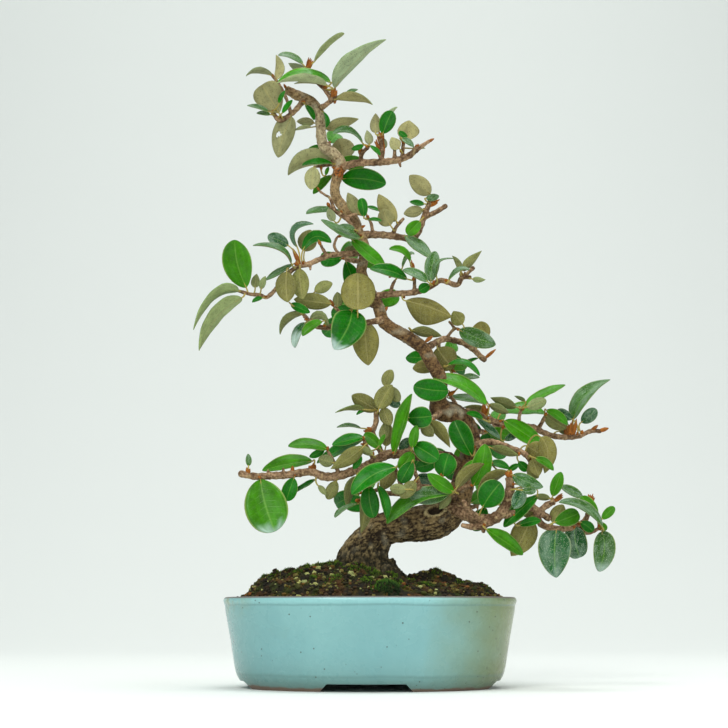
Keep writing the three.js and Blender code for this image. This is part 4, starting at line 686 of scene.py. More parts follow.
def along(stems):
    """Points every two millimetres or less along the stems."""
    places = []
    for stem in stems:
        for a, b in zip(stem, stem[1:]):
            steps = math.ceil(span(minus(b, a)) / 2)
            for k in range(steps):
                places.append(plus(times(a, 1 - k / steps), times(b, k / steps)))
        places.append(stem[-1][:3])
    return places


def nearest_place(places, x, z):
    """The place of the wood that lies nearest to a spot seen from the front."""
    return min(places, key=lambda p: span(minus(seen(x, z, p[1]), p)))


def grow_leaf(row, places, draw):
    """A row is a kind, the width that shows, and the base, sometimes a middle, and the tip."""
    kind, shown, x0, z0, *rest = row
    x1, z1 = rest[-2:]
    near = nearest_place(places, x0, z0)
    lean = (draw() - 0.6) * 0.5 * math.hypot(x1 - x0, z1 - z0)
    base = seen(x0, z0, near[1] - 1.5)
    tip = seen(x1, z1, near[1] - 1.5 + lean)
    middle = seen(rest[0], rest[1], near[1] - 1.5 + lean / 2) if len(rest) == 4 else None
    leaf = blade_for(kind, shown, base, middle, tip, draw)
    behind = minus(leaf["base"], times(leaf["way"], 3))
    leaf["root"] = min(places, key=lambda p: span(minus(p, behind)))
    return leaf


def grow_back_shoot(name, start, end, count, seed):
    draw = random_from(seed)
    low, high = seen(*start), seen(*end)
    stem = []
    for t in (0, 0.25, 0.5, 0.75, 1):
        straggle = 5 if 0 < t < 1 else 0
        on = plus(times(low, 1 - t), times(high, t))
        off = ((draw() - 0.5) * straggle, 0, (draw() - 0.2) * straggle)
        stem.append(plus(on, off) + (2.3 - 1.3 * t,))
    places = along([stem])
    add_wood(stem, name)
    leaves = []
    for k in range(count):
        share = 0.35 + (0.65 * k) / (count - 1)
        root = places[min(math.floor(share * len(places)), len(places) - 1)]
        turn = 2.4 * k + draw()
        length = BACK_SHORTEST + (BACK_LONGEST - BACK_SHORTEST) * draw()
        away = unit((math.cos(turn), 0.55 + 0.6 * share, 0.75 * math.sin(turn) - 0.1))
        base = plus(root, times(away, 5))
        tip = plus(base, times(away, length))
        shown = BACK_WIDTH * length * (0.75 + 0.25 * draw())
        leaf = blade_for("D" if k % 3 else "B", shown, base, None, tip, draw)
        leaf["root"] = root
        leaves.append(cleared(leaf, name))
    return [stem], leaves


def grow_tree():
    """Every branch by name, as its stems, buds and leaves."""
    add_wood(stem_of(TRUNK), "trunk")
    branches = {}
    for i, (name, spray) in enumerate(SPRAYS.items()):
        stems = [stem_of(rows, DEPTH_SPREAD) for rows in spray["wood"]]
        draw = random_from(101 + 17 * i)
        places = along(stems)
        for stem in stems:
            add_wood(stem, name)
        leaves = [cleared(grow_leaf(row, places, draw), name) for row in spray["leaves"]]
        branches[name] = (stems, leaves)
    for name, start, end, count, seed in BACK_SHOOTS:
        branches[name] = grow_back_shoot(name, start, end, count, seed)
    # The thin or partly hidden leaves come last, so that the others stand as they do in the solids.
    for i, (name, spray) in enumerate(SPRAYS.items()):
        stems, leaves = branches[name]
        draw = random_from(901 + 13 * i)
        places = along(stems)
        leaves += [cleared(grow_leaf(row, places, draw), name) for row in spray["thin"]]
    return branches


# Materials.


def srgb(r, g, b):
    """A colour read as 0 to 255, as linear numbers."""
    return tuple(((v / 255 + 0.055) / 1.055) ** 2.4 if v > 10 else v / 255 / 12.92 for v in (r, g, b))


def rgba(colour):
    return (*colour, 1.0)


def clamp(value, low=0.0, high=1.0):
    return min(max(value, low), high)


def blend(a, b, share):
    share = clamp(share)
    return tuple(u * (1 - share) + v * share for u, v in zip(a, b))


LEAF_VEIN = srgb(110, 165, 40)
LEAF_RIB = srgb(120, 168, 70)
LEAF_MARGIN = srgb(168, 180, 104)
LEAF_FROST = srgb(138, 162, 142)
LEAF_SCALES = srgb(190, 205, 175)
UNDER_VEIN = srgb(165, 160, 108)
UNDER_RIB = srgb(168, 158, 100)
UNDER_SCALES = srgb(185, 190, 155)
UNDER_DOTS = srgb(70, 56, 34)
BARK_PITS = srgb(38, 27, 20)
GLAZE = {
    "deep": srgb(112, 164, 167),
    "clear": srgb(131, 181, 181),
    # The lip's paler glaze, partly a painted highlight.
    "lip": srgb(150, 206, 207),
    "ochre": srgb(114, 126, 68),
    "low_ochre": srgb(106, 112, 36),
    "left_shade": srgb(104, 148, 140),
    "spill": srgb(140, 142, 84),
    "under_lip": srgb(84, 124, 124),
    "bare_edge": srgb(92, 80, 74),
    "foot_line": srgb(76, 116, 112),
    "pinhole": srgb(40, 38, 28),
    "thin": srgb(98, 124, 112),
    "thinnest": srgb(92, 112, 98),
    "clay": srgb(112, 94, 80),
}


class Recipe:
    """A node material in the making. Plain colours are three linear numbers."""

    def __init__(self, name, roughness=0.5, gloss=0.5):
        self.material = bpy.data.materials.new(name)
        self.material.use_nodes = True
        self.tree = self.material.node_tree
        self.shader = self.tree.nodes["Principled BSDF"]
        self.set("Roughness", roughness)
        self.set("Specular IOR Level", gloss)
        self.place = self.tree.nodes.new("ShaderNodeTexCoord").outputs["Object"]

    def fill(self, socket, value):
        """Links an output to the socket, or sets the socket to a plain value."""
        if hasattr(value, "is_output"):
            self.tree.links.new(value, socket)
        elif socket.type == "RGBA":
            socket.default_value = rgba(value)
        else:
            socket.default_value = value

    def set(self, socket, value):
        self.fill(self.shader.inputs[socket], value)

    def node(self, kind, sockets=(), **settings):
        made = self.tree.nodes.new("ShaderNode" + kind)
        for key, value in settings.items():
            setattr(made, key, value)
        for key, value in dict(sockets).items():
            self.fill(made.inputs[key], value)
        return made

    def attribute(self, name, output="Color"):
        return self.node("Attribute", attribute_name=name).outputs[output]

    def apart(self, vector):
        return self.node("SeparateXYZ", {0: vector}).outputs

    def noise(self, scale, detail=3.0, roughness=0.5, place=None):
        sockets = {"Vector": place or self.place, "Scale": scale, "Detail": detail}
        return self.node("TexNoise", {**sockets, "Roughness": roughness}).outputs["Fac"]

    def cloudy(self, scale, detail, low=0.0, high=1.0, roughness=0.5):
        """A soft noise that runs from low to high."""
        return self.ramp(self.noise(scale, detail, roughness), 0.3, 0.7, low, high)

    def spots(self, scale, size, soft=0.1):
        """1 inside round spots, 0 outside."""
        cells = self.node("TexVoronoi", {"Vector": self.place, "Scale": scale})
        return self.ramp(cells.outputs["Distance"], size, size + soft, 1.0, 0.0)

    def ramp(self, value, low, high, start=0.0, end=1.0):
        sockets = {"Value": value, "From Min": low, "From Max": high, "To Min": start, "To Max": end}
        return self.node("MapRange", sockets).outputs["Result"]

    def band(self, value, start, full, ebb, end):
        """1 between full and ebb, and fading out to start and end."""
        return self.times(self.ramp(value, start, full), self.ramp(value, end, ebb))

    def math(self, operation, a, b=0.5):
        return self.node("Math", {0: a, 1: b}, operation=operation).outputs[0]

    def plus(self, a, b):
        return self.math("ADD", a, b)

    def less(self, a, b):
        return self.math("SUBTRACT", a, b)

    def times(self, a, b):
        return self.math("MULTIPLY", a, b)

    def over(self, colour, paint, share, strength=1.0):
        """The colour with a plain one laid over a share of it."""
        if strength < 1:
            share = self.times(share, strength)
        return self.node("Mix", {0: share, 6: colour, 7: paint}, data_type="RGBA").outputs[2]

    def shaded(self, colour, share):
        """The colour made lighter or darker by a plain number."""
        grey = self.node("CombineColor", {0: share, 1: share, 2: share}).outputs[0]
        sockets = {0: 1.0, 6: colour, 7: grey}
        return self.node("Mix", sockets, data_type="RGBA", blend_type="MULTIPLY").outputs[2]

    def bump(self, height, strength, distance):
        made = self.node("Bump", {"Height": height, "Strength": strength, "Distance": distance})
        self.set("Normal", made.outputs["Normal"])


def side_veins(m, t, side, low):
    """Veins that run from the midrib forward to the margin."""
    run = m.less(t, m.times(side, 0.16))
    return m.ramp(m.math("SINE", m.times(run, 52.0)), low, 1.0)


def stretched(m, rib, along_it, across_it):
    """Places on a blade for a noise, with the leaf's own number to make it differ from the rest."""
    return m.node("VectorMath", {0: rib, 1: (along_it, across_it, 40.0)}, operation="MULTIPLY").outputs[0]


def blade_streaks(m, rib):
    """Soft streaks that run with a blade."""
    return m.noise(1.0, 4, 0.6, stretched(m, rib, 1.6, 3.2))


def leaf_top_material():
    m = Recipe("leaf_top", 0.3, 0.12)
    rib = m.attribute("rib", "Vector")
    t, s, _ = m.apart(rib)
    side = m.math("ABSOLUTE", s)
    veins = side_veins(m, t, side, 0.8)
    colour = m.shaded(m.attribute("tint"), m.cloudy(150, 3, 0.75, 1.2))
    colour = m.shaded(colour, m.ramp(blade_streaks(m, rib), 0.3, 0.7, 0.78, 1.2))
    colour = m.over(colour, LEAF_VEIN, veins, 0.07)
    colour = m.over(colour, LEAF_RIB, m.ramp(side, 0.015, 0.07, 0.4, 0.0))
    colour = m.over(colour, LEAF_MARGIN, m.ramp(side, 0.9, 0.98, 0.0, 0.55))
    # Silvery scales lie on the blade as tiny dots and as thin, streaky frost.
    scurf = m.attribute("scurf", "Fac")
    patchy = m.plus(m.noise(1.0, 5, 0.6, stretched(m, rib, 2.2, 1.5)), m.times(t, 0.08))
    frost = m.times(m.ramp(patchy, 0.46, 0.66), m.times(scurf, 0.6))
    colour = m.over(colour, LEAF_FROST, frost)
    colour = m.over(colour, LEAF_SCALES, m.times(m.spots(1500, 0.2, 0.06), scurf))
    m.set("Base Color", colour)
    m.set("Roughness", m.cloudy(420, 2, 0.22, 0.4))
    m.bump(m.less(m.times(m.noise(900, 2), 0.5), m.times(veins, 0.4)), 0.5, 0.00025)
    return m.material


def leaf_under_material():
    m = Recipe("leaf_under", 0.62, 0.2)
    rib = m.attribute("rib", "Vector")
    t, s, _ = m.apart(rib)
    side = m.math("ABSOLUTE", s)
    veins = side_veins(m, t, side, 0.75)
    colour = m.shaded(m.attribute("tint"), m.cloudy(200, 3, 0.8, 1.18))
    colour = m.shaded(colour, m.ramp(blade_streaks(m, rib), 0.3, 0.7, 0.8, 1.15))
    colour = m.over(colour, UNDER_VEIN, veins, 0.1)
    colour = m.over(colour, UNDER_RIB, m.ramp(side, 0.03, 0.08, 0.4, 0.0))
    colour = m.over(colour, UNDER_SCALES, m.spots(1900, 0.3, 0.1), 0.2)
    colour = m.over(colour, UNDER_DOTS, m.spots(820, 0.19, 0.06), 0.7)
    m.set("Base Color", colour)
    m.bump(m.plus(m.times(veins, 0.4), m.times(m.noise(1200, 2), 0.5)), 0.5, 0.0003)
    return m.material


def tinted_material(name, roughness, grain, low, high, bump=0.0):
    """The tint attribute, made lighter and darker by a fine noise."""
    m = Recipe(name, roughness, 0.25)
    fine = m.noise(grain, 4, 0.62)
    m.set("Base Color", m.shaded(m.attribute("tint"), m.ramp(fine, 0.3, 0.7, low, high)))
    if bump:
        m.bump(fine, bump, 0.0004)
    return m.material


def bark_material():
    m = Recipe("bark", 0.85, 0.2)
    grain = m.noise(800, 5, 0.68)
    colour = m.shaded(m.attribute("tint"), m.ramp(grain, 0.3, 0.7, 0.6, 1.4))
    pits = m.spots(460, 0.14, 0.08)
    m.set("Base Color", m.over(colour, BARK_PITS, pits, 0.5))
    m.bump(m.less(grain, m.times(pits, 0.7)), 0.8, 0.0005)
    return m.material


def glaze_material():
    """Pale celadon. Heights and distances on the pot are in metres here."""
    m = Recipe("celadon_glaze", 0.22, 0.4)
    m.set("Coat Weight", 0.25)
    m.set("Coat Roughness", 0.12)
    x, _, z = m.apart(m.place)
    across = m.less(x, POT_X)
    colour = m.over(GLAZE["deep"], GLAZE["clear"], m.cloudy(14, 4, roughness=0.6))
    # The lip is painted paler: partly where the glaze has run thin, and partly a painted highlight along
    # the rounded lip.
    colour = m.over(colour, GLAZE["lip"], m.ramp(z, 0.052, 0.0542), 0.55)
    # The right flank is stained yellowish over a broad, cloudy stretch.
    cloud = m.ramp(m.noise(38, 4, 0.6), 0.35, 0.65, -0.08, 0.08)
    flank = m.plus(m.ramp(across, 0.03, 0.09), cloud)
    colour = m.over(colour, GLAZE["ochre"], m.ramp(flank, 0.05, 0.95, 0.0, 0.95))
    low_stain = m.times(m.ramp(flank, 0.35, 0.9), m.ramp(z, 0.024, 0.008))
    colour = m.over(colour, GLAZE["low_ochre"], low_stain, 0.75)
    # The left end is shaded, with a yellowish spill near the lip.
    colour = m.over(colour, GLAZE["left_shade"], m.ramp(across, -0.092, -0.06, 0.3, 0.0))
    spill = m.times(m.ramp(across, -0.094, -0.072, 0.9, 0.0), m.ramp(z, 0.043, 0.053))
    spill = m.times(spill, m.ramp(m.noise(130, 3), 0.42, 0.6))
    colour = m.over(colour, GLAZE["spill"], spill, 0.7)
    # A soft, darker line runs under the lip, and the very edge is bare.
    sag = m.plus(z, m.times(m.less(m.noise(16, 3), 0.3), 0.0036))
    colour = m.over(colour, GLAZE["under_lip"], m.band(sag, 0.0524, 0.053, 0.0533, 0.0541), 0.4)
    edge = m.ramp(z, 0.0562, 0.0569)
    colour = m.over(colour, GLAZE["bare_edge"], edge, 0.9)
    # A faint, darker line runs where the foot sets in.
    colour = m.over(colour, GLAZE["foot_line"], m.band(sag, 0.0086, 0.0094, 0.0099, 0.0112), 0.3)
    pin = m.times(m.spots(210, 0.09, 0.025), m.ramp(m.noise(55, 2), 0.48, 0.55))
    colour = m.over(colour, GLAZE["pinhole"], pin, 0.95)
    # The foot is bare brown clay, and the glaze thins just above it.
    low = m.plus(z, m.times(m.less(m.noise(90, 4), 0.5), 0.003))
    colour = m.over(colour, GLAZE["thin"], m.ramp(low, 0.006, 0.024, 0.25, 0.0))
    colour = m.over(colour, GLAZE["thinnest"], m.ramp(low, 0.0022, 0.0105, 0.5, 0.0))
    higher = m.ramp(across, -0.08, -0.02, 0.0009, 0.0)
    bare = m.ramp(m.less(low, higher), 0.0012, 0.0022, 1.0, 0.0)
    m.set("Base Color", m.over(colour, GLAZE["clay"], bare))
    dull = m.times(m.math("MAXIMUM", bare, edge), 0.5)
    m.set("Roughness", m.plus(m.cloudy(120, 3, 0.2, 0.36), dull))
    m.bump(m.less(m.noise(60, 3), m.times(pin, 0.8)), 0.1, 0.0006)
    return m.material


def plain_material(name, colour, roughness):
    m = Recipe(name, roughness)
    m.set("Base Color", colour)
    return m.material


# Meshes.

MM = 0.001


def on_pot(points):
    """Points in mm about the middle of the pot's foot, in the shared frame in metres."""
    return [(x * MM + POT_X, y * MM + POT_Y, z * MM) for x, y, z in points]


def placed(name, data):
    """A new object in the scene."""
    made = bpy.data.objects.new(name, data)
    bpy.context.scene.collection.objects.link(made)
    return made


def add_tint(mesh, colours):
    tint = mesh.attributes.new("tint", "FLOAT_COLOR", "POINT")
    tint.data.foreach_set("color", np.array([rgba(c) for c in colours], dtype=float).ravel())


class Pile:
    """Points and faces of one piece, with what its materials read."""

    def __init__(self):
        self.points = []
        self.faces = []
        self.kinds = []
        self.tints = []
        self.ribs = []
        self.scurf = []

    def add(self, points, faces, kinds=0, tints=(1, 1, 1), ribs=None, scurf=0.0):
        start = len(self.points)
        self.points += points
        self.faces += [tuple(start + i for i in face) for face in faces]
        self.kinds += [kinds] * len(faces) if isinstance(kinds, int) else kinds
        self.tints += tints if isinstance(tints, list) else [tints] * len(points)
        self.ribs += ribs or [(0, 0, 0)] * len(points)
        self.scurf += [scurf] * len(points)

    def piece(self, name, materials, nodes, slot, smooth=True):
        mesh = bpy.data.meshes.new(name)
        mesh.from_pydata(on_pot(self.points), [], self.faces)
        mesh.polygons.foreach_set("material_index", self.kinds)
        mesh.polygons.foreach_set("use_smooth", [smooth] * len(self.faces))
        add_tint(mesh, self.tints)
        rib = mesh.attributes.new("rib", "FLOAT_VECTOR", "POINT")
        rib.data.foreach_set("vector", np.array(self.ribs, dtype=float).ravel())
        scurf = mesh.attributes.new("scurf", "FLOAT", "POINT")
        scurf.data.foreach_set("value", self.scurf)
        mesh.update()
        settle(name, mesh, materials, nodes)


def settle(name, mesh, materials, nodes):
    """Puts a finished mesh in the scene as a piece that stands for its solids."""
    for material in materials:
        mesh.materials.append(material)
    piece = placed(name, mesh)
    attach(piece, "root")
    if nodes:
        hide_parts(*nodes)


def smooth_route(route, step):
    """A finer, rounded route through rows that begin with x, y and z."""
    out = []
    last = len(route) - 1
    for i in range(last):
        p0, p1, p2, p3 = (route[min(max(k, 0), last)] for k in (i - 1, i, i + 1, i + 2))
        parts = max(1, math.ceil(math.dist(p1[:3], p2[:3]) / step))
        for k in range(parts):
            t = k / parts
            weights = (
                -0.5 * t + t * t - 0.5 * t**3,
                1 - 2.5 * t * t + 1.5 * t**3,
                0.5 * t + 2 * t * t - 1.5 * t**3,
                -0.5 * t * t + 0.5 * t**3,
            )
            rows = list(zip(weights, (p0, p1, p2, p3)))
            out.append(tuple(sum(w * p[j] for w, p in rows) for j in range(len(p1))))
    out.append(tuple(route[-1]))
    return out


def frames_along(route):
    """The heading and a side direction, carried without twist, at every row of a route."""
    last = len(route) - 1
    ways = [unit(minus(route[min(i + 1, last)][:3], route[max(i - 1, 0)][:3])) for i in range(last + 1)]
    least = min(range(3), key=lambda i: abs(ways[0][i]))
    sides = [unit(cross(ways[0], tuple(1.0 if i == least else 0.0 for i in range(3))))]
    for before, after in zip(ways, ways[1:]):
        sides.append(unit(carry(sides[-1], before, after)))
    return ways, sides


def tube(route, sides, swell=None):
    """Points and faces of a closed round stem through (x, y, z, radius)."""
    last = len(route) - 1
    ways, across = frames_along(route)
    points, faces = [], []
    for (x, y, z, radius), way, side in zip(route, ways, across):
        other = cross(way, side)
        for k in range(sides):
            angle = 2 * math.pi * k / sides
            reach = radius * (swell((x, y, z), angle) if swell else 1)
            out = plus(times(side, math.cos(angle)), times(other, math.sin(angle)))
            points.append(plus((x, y, z), times(out, reach)))
    for i in range(last):
        for k in range(sides):
            a, b = i * sides + k, i * sides + (k + 1) % sides
            faces.append((a, b, b + sides, a + sides))
    start = len(points)
    points.append(minus(route[0][:3], times(ways[0], 0.5 * route[0][3])))
    points.append(plus(route[last][:3], times(ways[last], 0.5 * route[last][3])))
    for k in range(sides):
        after = (k + 1) % sides
        faces.append((start, after, k))
        faces.append((start + 1, last * sides + k, last * sides + after))
    return points, faces


def welded(tubes, voxel):
    """One skin round overlapping closed tubes, as a mesh in metres about the pot's middle."""
    points, faces = [], []
    for more, ends in tubes:
        start = len(points)
        points.extend(more)
        faces.extend(tuple(start + i for i in face) for face in ends)
    rough = bpy.data.meshes.new("rough")
    rough.from_pydata([(x * MM, y * MM, z * MM) for x, y, z in points], [], faces)
    holder = placed("rough", rough)
    skin = holder.modifiers.new("skin", "REMESH")
    skin.mode = "VOXEL"
    skin.voxel_size = voxel * MM
    graph = bpy.context.evaluated_depsgraph_get()
    mesh = bpy.data.meshes.new_from_object(holder.evaluated_get(graph))
    bpy.data.objects.remove(holder)
    bpy.data.meshes.remove(rough)
    return mesh


# How many places are measured against a route at once.
BATCH = 4000


def local_places(places, route):
    """Each place as its offset from the nearest spot of the route, and how far along that is."""
    middles = np.array([row[:3] for row in route])
    ways, sides = (np.array(rows) for rows in frames_along(route))
    others = np.cross(ways, sides)
    steps = np.linalg.norm(np.diff(middles, axis=0), axis=1)
    arcs = np.concatenate([[0.0], np.cumsum(steps)])
    out = []
    for start in range(0, len(places), BATCH):
        part = places[start : start + BATCH]
        nearest = ((part[:, None, :] - middles[None]) ** 2).sum(axis=2).argmin(axis=1)
        off = part - middles[nearest]
        aside = (off * sides[nearest]).sum(axis=1)
        beyond = (off * others[nearest]).sum(axis=1)
        run = arcs[nearest] + (off * ways[nearest]).sum(axis=1)
        out.append(np.stack([aside, beyond, run], axis=1))
    return np.concatenate(out)


def wood_piece(name, tubes, voxel, bark_at, route, material, node):
    """A welded skin with its bark: bark_at(place, local) gives the relief in mm and the colour."""
    mesh = welded(tubes, voxel)
    count = len(mesh.vertices)
    places, normals = (np.empty(count * 3, dtype=np.float32) for _ in range(2))
    mesh.vertices.foreach_get("co", places)
    mesh.vertex_normals.foreach_get("vector", normals)
    places = places.reshape(-1, 3).astype(float) / MM
    normals = normals.reshape(-1, 3).astype(float)
    barks = [bark_at(Vector(p), Vector(q)) for p, q in zip(places, local_places(places, route))]
    raised = places + normals * np.array([height for height, _ in barks])[:, None]
    world = raised * MM + np.array((POT_X, POT_Y, 0.0))
    mesh.vertices.foreach_set("co", world.astype(np.float32).ravel())
    add_tint(mesh, [colour for _, colour in barks])
    mesh.polygons.foreach_set("use_smooth", [True] * len(mesh.polygons))
    mesh.materials.clear()
    mesh.update()
    settle(name, mesh, [material], [node])


# Wood.

OLD_BARK = srgb(142, 124, 84)
OLD_CRACK = srgb(36, 28, 18)
YOUNG_BARK = srgb(166, 136, 104)
MIDDLE_BARK = srgb(122, 94, 60)
MIDDLE_CRACK = srgb(60, 42, 28)
CROWN_BARK = srgb(162, 138, 98)
CROWN_CRACK = srgb(90, 66, 42)
PALE_BARK = srgb(196, 184, 150)
TWIG_CRACK = srgb(84, 62, 42)
TAN = srgb(186, 164, 118)
GREY = srgb(164, 158, 134)
# A darker colour for the trunk's foot, down by the soil.
FOOT_DARK = srgb(30, 30, 18)
# Heights in mm. Old bark gives way to smoother bark, which is lighter in the crown.
OLD_TO, OLD_OVER = 138, 50
CROWN_FROM, CROWN_OVER = 236, 80
PALE_AT, PALE_REACH = 371, 24
# The foot is darker towards the soil.
FOOT_DARK_TO, FOOT_DARK_OVER = 93, 11
# The healed scar of a cut: where it lies, how it leans, and its half length and height.
SCAR_LIP = srgb(202, 184, 134)
SCAR_AT = (42.4, 112.7)
SCAR_TILT = 0.3
SCAR_HALF = (4.6, 2.3)
# The bark has flaked to a rusty layer where the upper right branch leaves the trunk.
RUST = srgb(160, 88, 26)
RUST_AT = (-20, 343.5)
RUST_REACH = 5.5
# The warp of the cracks is drawn from this seed.
CRACK_SEED = 5
# Sizes of the grid that welds the wood into one skin, in mm.
TRUNK_VOXEL = 0.6
TWIG_VOXEL = 0.47
# The dressed trunk goes down to here, under the soil.
TRUNK_FROM_Z = 50
# Knuckles are laid out for twigs up to this length.
LONGEST_TWIG = 400


def crack_at(place, wide):
    """1 in the cracks between plates and 0 on them."""
    near, next_near = noise.voronoi(place)[0][:2]
    return max(0.0, 1 - (next_near - near) / wide)


def scar_ring(place):
    """How far from the middle of the healed scar, 1 at its inner lip, or well over 1 elsewhere."""
    if place.y > -6:
        return 9.0
    x, z = place.x - SCAR_AT[0], place.z - SCAR_AT[1]
    along_it = x * math.cos(SCAR_TILT) + z * math.sin(SCAR_TILT)
    over = z * math.cos(SCAR_TILT) - x * math.sin(SCAR_TILT)
    return math.hypot(along_it / SCAR_HALF[0], over / SCAR_HALF[1]) + 0.14 * noise.noise(place * 0.9)


def trunk_bark(place, local):
    """Thick plates at the foot, thinner and smoother bark up the tree."""
    age = clamp((OLD_TO - place.z) / OLD_OVER)
    stretched = Vector((local.x * 0.3, local.y * 0.3, local.z * 0.12))
    stretched += 0.35 * noise.noise_vector(local * 0.25)
    crack = crack_at(stretched, 0.3)
    grain = noise.fractal(Vector((local.x * 0.75, local.y * 0.75, local.z * 0.4)), 0.75, 2.2, 4)
    patch = noise.fractal(place * 0.08, 0.9, 2.0, 3)
    young = noise.fractal(Vector((local.x * 0.5, local.y * 0.5, local.z * 0.5)), 0.8, 2.1, 4)
    ring = max(0.0, math.sin(local.z * 0.62 + 2.5 * patch) - 0.75)
    height = age * (0.3 - 0.95 * crack * crack + 0.6 * grain)
    height += (1 - age) * (0.3 * young + 0.5 * ring - 0.2 * crack)
    crown = clamp((place.z - CROWN_FROM) / CROWN_OVER)
    pale = max(0.0, 1 - ((place.z - PALE_AT) / PALE_REACH) ** 4)
    light = blend(blend(MIDDLE_BARK, CROWN_BARK, crown), PALE_BARK, 0.7 * pale)
    light = blend(light, OLD_BARK, age)
    dark = blend(blend(MIDDLE_CRACK, CROWN_CRACK, crown), OLD_CRACK, age)
    fine = grain if age > 0.5 else young
    speck = noise.noise(place * 1.3)
    pore = max(0.0, noise.noise(place * 0.9 + Vector((4, 7, 1))) - 0.32)
    marks = (0.3 + 0.7 * age) * crack - 0.45 * patch - 0.8 * fine - 0.6 * speck + 4 * pore
    worn = 0.2 + 0.14 * age + (1 - 0.35 * crown) * marks
    colour = blend(light, dark, worn)
    tan = noise.noise(place * 0.5) - 0.25
    colour = blend(colour, TAN, 1.4 * tan * (0.25 + 0.75 * age))
    grey = noise.noise(place * 0.16 + Vector((9, 3, 5))) - 0.15
    colour = blend(colour, GREY, 1.2 * grey * (1 - 0.5 * age))
    rust = math.hypot(place.x - RUST_AT[0], place.z - RUST_AT[1]) / RUST_REACH
    rust += 0.6 * noise.noise(place * 0.5)
    flaked = blend(RUST, OLD_CRACK, 0.3 + 1.6 * noise.noise(place * 0.8))
    colour = blend(colour, flaked, min(1.6 * (1.1 - rust), 0.88))
    # The bark grows darker down towards the soil.
    foot_dark = clamp((FOOT_DARK_TO - place.z) / FOOT_DARK_OVER)
    colour = blend(colour, FOOT_DARK, foot_dark * (0.72 + 0.6 * noise.noise(place * 0.3)))
    scar = scar_ring(place)
    if scar < 1:
        return -0.9 + 0.3 * grain, blend(OLD_CRACK, colour, 0.18)
    if scar < 1.9:
        lip = math.sin(math.pi * (scar - 1) / 0.9)
        dashes = 0.75 + 1.3 * noise.noise(place * 1.3)
        return height * (1 - lip) + 0.6 * lip, blend(colour, SCAR_LIP, lip**1.5 * dashes)
    return height, colour


def twig_bark(place, local):
    grain = noise.fractal(Vector((local.x * 0.9, local.y * 0.9, local.z * 0.6)), 0.75, 2.2, 4)
    patch = noise.fractal(place * 0.11, 0.9, 2.0, 3)
    knob = max(0.0, noise.noise(place * 0.55) - 0.25)
    colour = blend(TWIG_CRACK, YOUNG_BARK, 0.42 + 0.6 * patch + 0.7 * grain)
    colour = blend(colour, TAN, 1.2 * (noise.noise(place * 0.42) - 0.2))
    return 0.12 * grain + 0.35 * knob, colour


def bark_ridges(middle, angle):
    foot = max(0.0, (110 - middle[2]) / 60)
    turn = middle[2] * 0.05 + middle[0] * 0.07
    broad = (0.035 + 0.05 * foot) * math.sin(4 * angle + turn)
    return 1 + broad + 0.02 * math.sin(9 * angle + 2 * turn)


def make_trunk(material):
    noise.seed_set(CRACK_SEED)
    route = smooth_route([row for row in stem_of(TRUNK) if row[2] > TRUNK_FROM_Z], 1.5)
    tubes = [tube(route, 40, bark_ridges)]
    tubes += [tube(smooth_route(stem_of(root), 1.5), 18) for root in ROOTS]
    wood_piece("trunk_bark", tubes, TRUNK_VOXEL, trunk_bark, route, material, "trunk")


def knuckled(stem, draw):
    """Twigs swell where leaves once stood."""
    fine = smooth_route(stem, 0.9)
    knots, at = [], 2 * draw()
    while at < LONGEST_TWIG:
        knots.append(at)
        at += 3.5 + 5 * draw()
    out, run = [], 0.0
    for i, row in enumerate(fine):
        if i:
            run += math.dist(row[:3], fine[i - 1][:3])
        swell = max(math.exp(-(((run - knot) / 1.0) ** 2)) for knot in knots)
        out.append(row[:3] + (row[3] * (0.95 + 0.15 * swell),))
    return out


def make_twigs(name, stems, material, draw):
    longest = max(stems, key=lambda stem: len(along([stem])))
    tubes = [tube(knuckled(stem, draw), 12) for stem in stems]
    route = smooth_route(longest, 1.5)
    wood_piece(name + "_wood", tubes, TWIG_VOXEL, twig_bark, route, material, name)


# Leaves and buds.

# Half of a blade's thickness in mm.
HALF_THICK = 0.2
# A blade has a row of faces to about this length, within bounds, and this many faces across.
ROW_LENGTH = 1.6
LEAST_ROWS, MOST_ROWS = 10, 20
COLUMNS = 8
# The eaten leaf is finer, for the edge of its hole.
EATEN_ROWS, EATEN_COLUMNS = 44, 22
# Radii in mm from which a bud is a group of three scales, and of four.
LARGE_BUD, LARGEST_BUD = 1.35, 1.9
BUD_CHANCE = 0.65
UPPER = {
    "B": srgb(56, 126, 0),
    "D": srgb(16, 106, 2),
    "G": srgb(56, 100, 36),
    "K": srgb(24, 80, 36),
    "U": srgb(34, 110, 4),
    "Y": srgb(90, 150, 24),
}
# Undersides are painted paler high in the crown than low down: painted light, for light that shines onto
# and through the leaves there. Each pair runs from low down to high up.
LOWER = {
    "U": (srgb(116, 114, 56), srgb(154, 150, 100)),
    "Y": (srgb(138, 152, 96), srgb(166, 177, 130)),
}
LOWER_HIDDEN = (srgb(118, 124, 76), srgb(140, 146, 104))
# Small undersides are greyer: from this width down, over so much.
LOWER_SMALL = (srgb(118, 130, 80), srgb(150, 158, 118))
SMALL_FROM, SMALL_OVER = 11, 7
# Heights in mm from which, and over which, undersides are painted paler as painted light.
LIT_UNDER_FROM, LIT_UNDER_OVER = 270, 60
SCURF = {"B": 0.07, "D": 0.07, "G": 0.7, "K": 0.75, "U": 0.08, "Y": 0.08}
STALK = srgb(158, 144, 74)
BUD = srgb(178, 108, 34)
BUD_DARK = srgb(106, 60, 20)
# A leaf is named by where its base shows from the front.
# Silvery tips: how silvery, and from where on.
SILVERED = {
    (-12, 247): (0.85, 0.82),
    (-72, 134): (0.5, 0.84),
    (122, 101): (0.3, 0.8),
    (134, 103): (0.3, 0.9),
    (152, 100): (0.6, 0.78),
    (89, 173): (0.5, 0.84),
    (-43, 239): (0.7, 0.45),
}
SILVER = srgb(176, 198, 192)
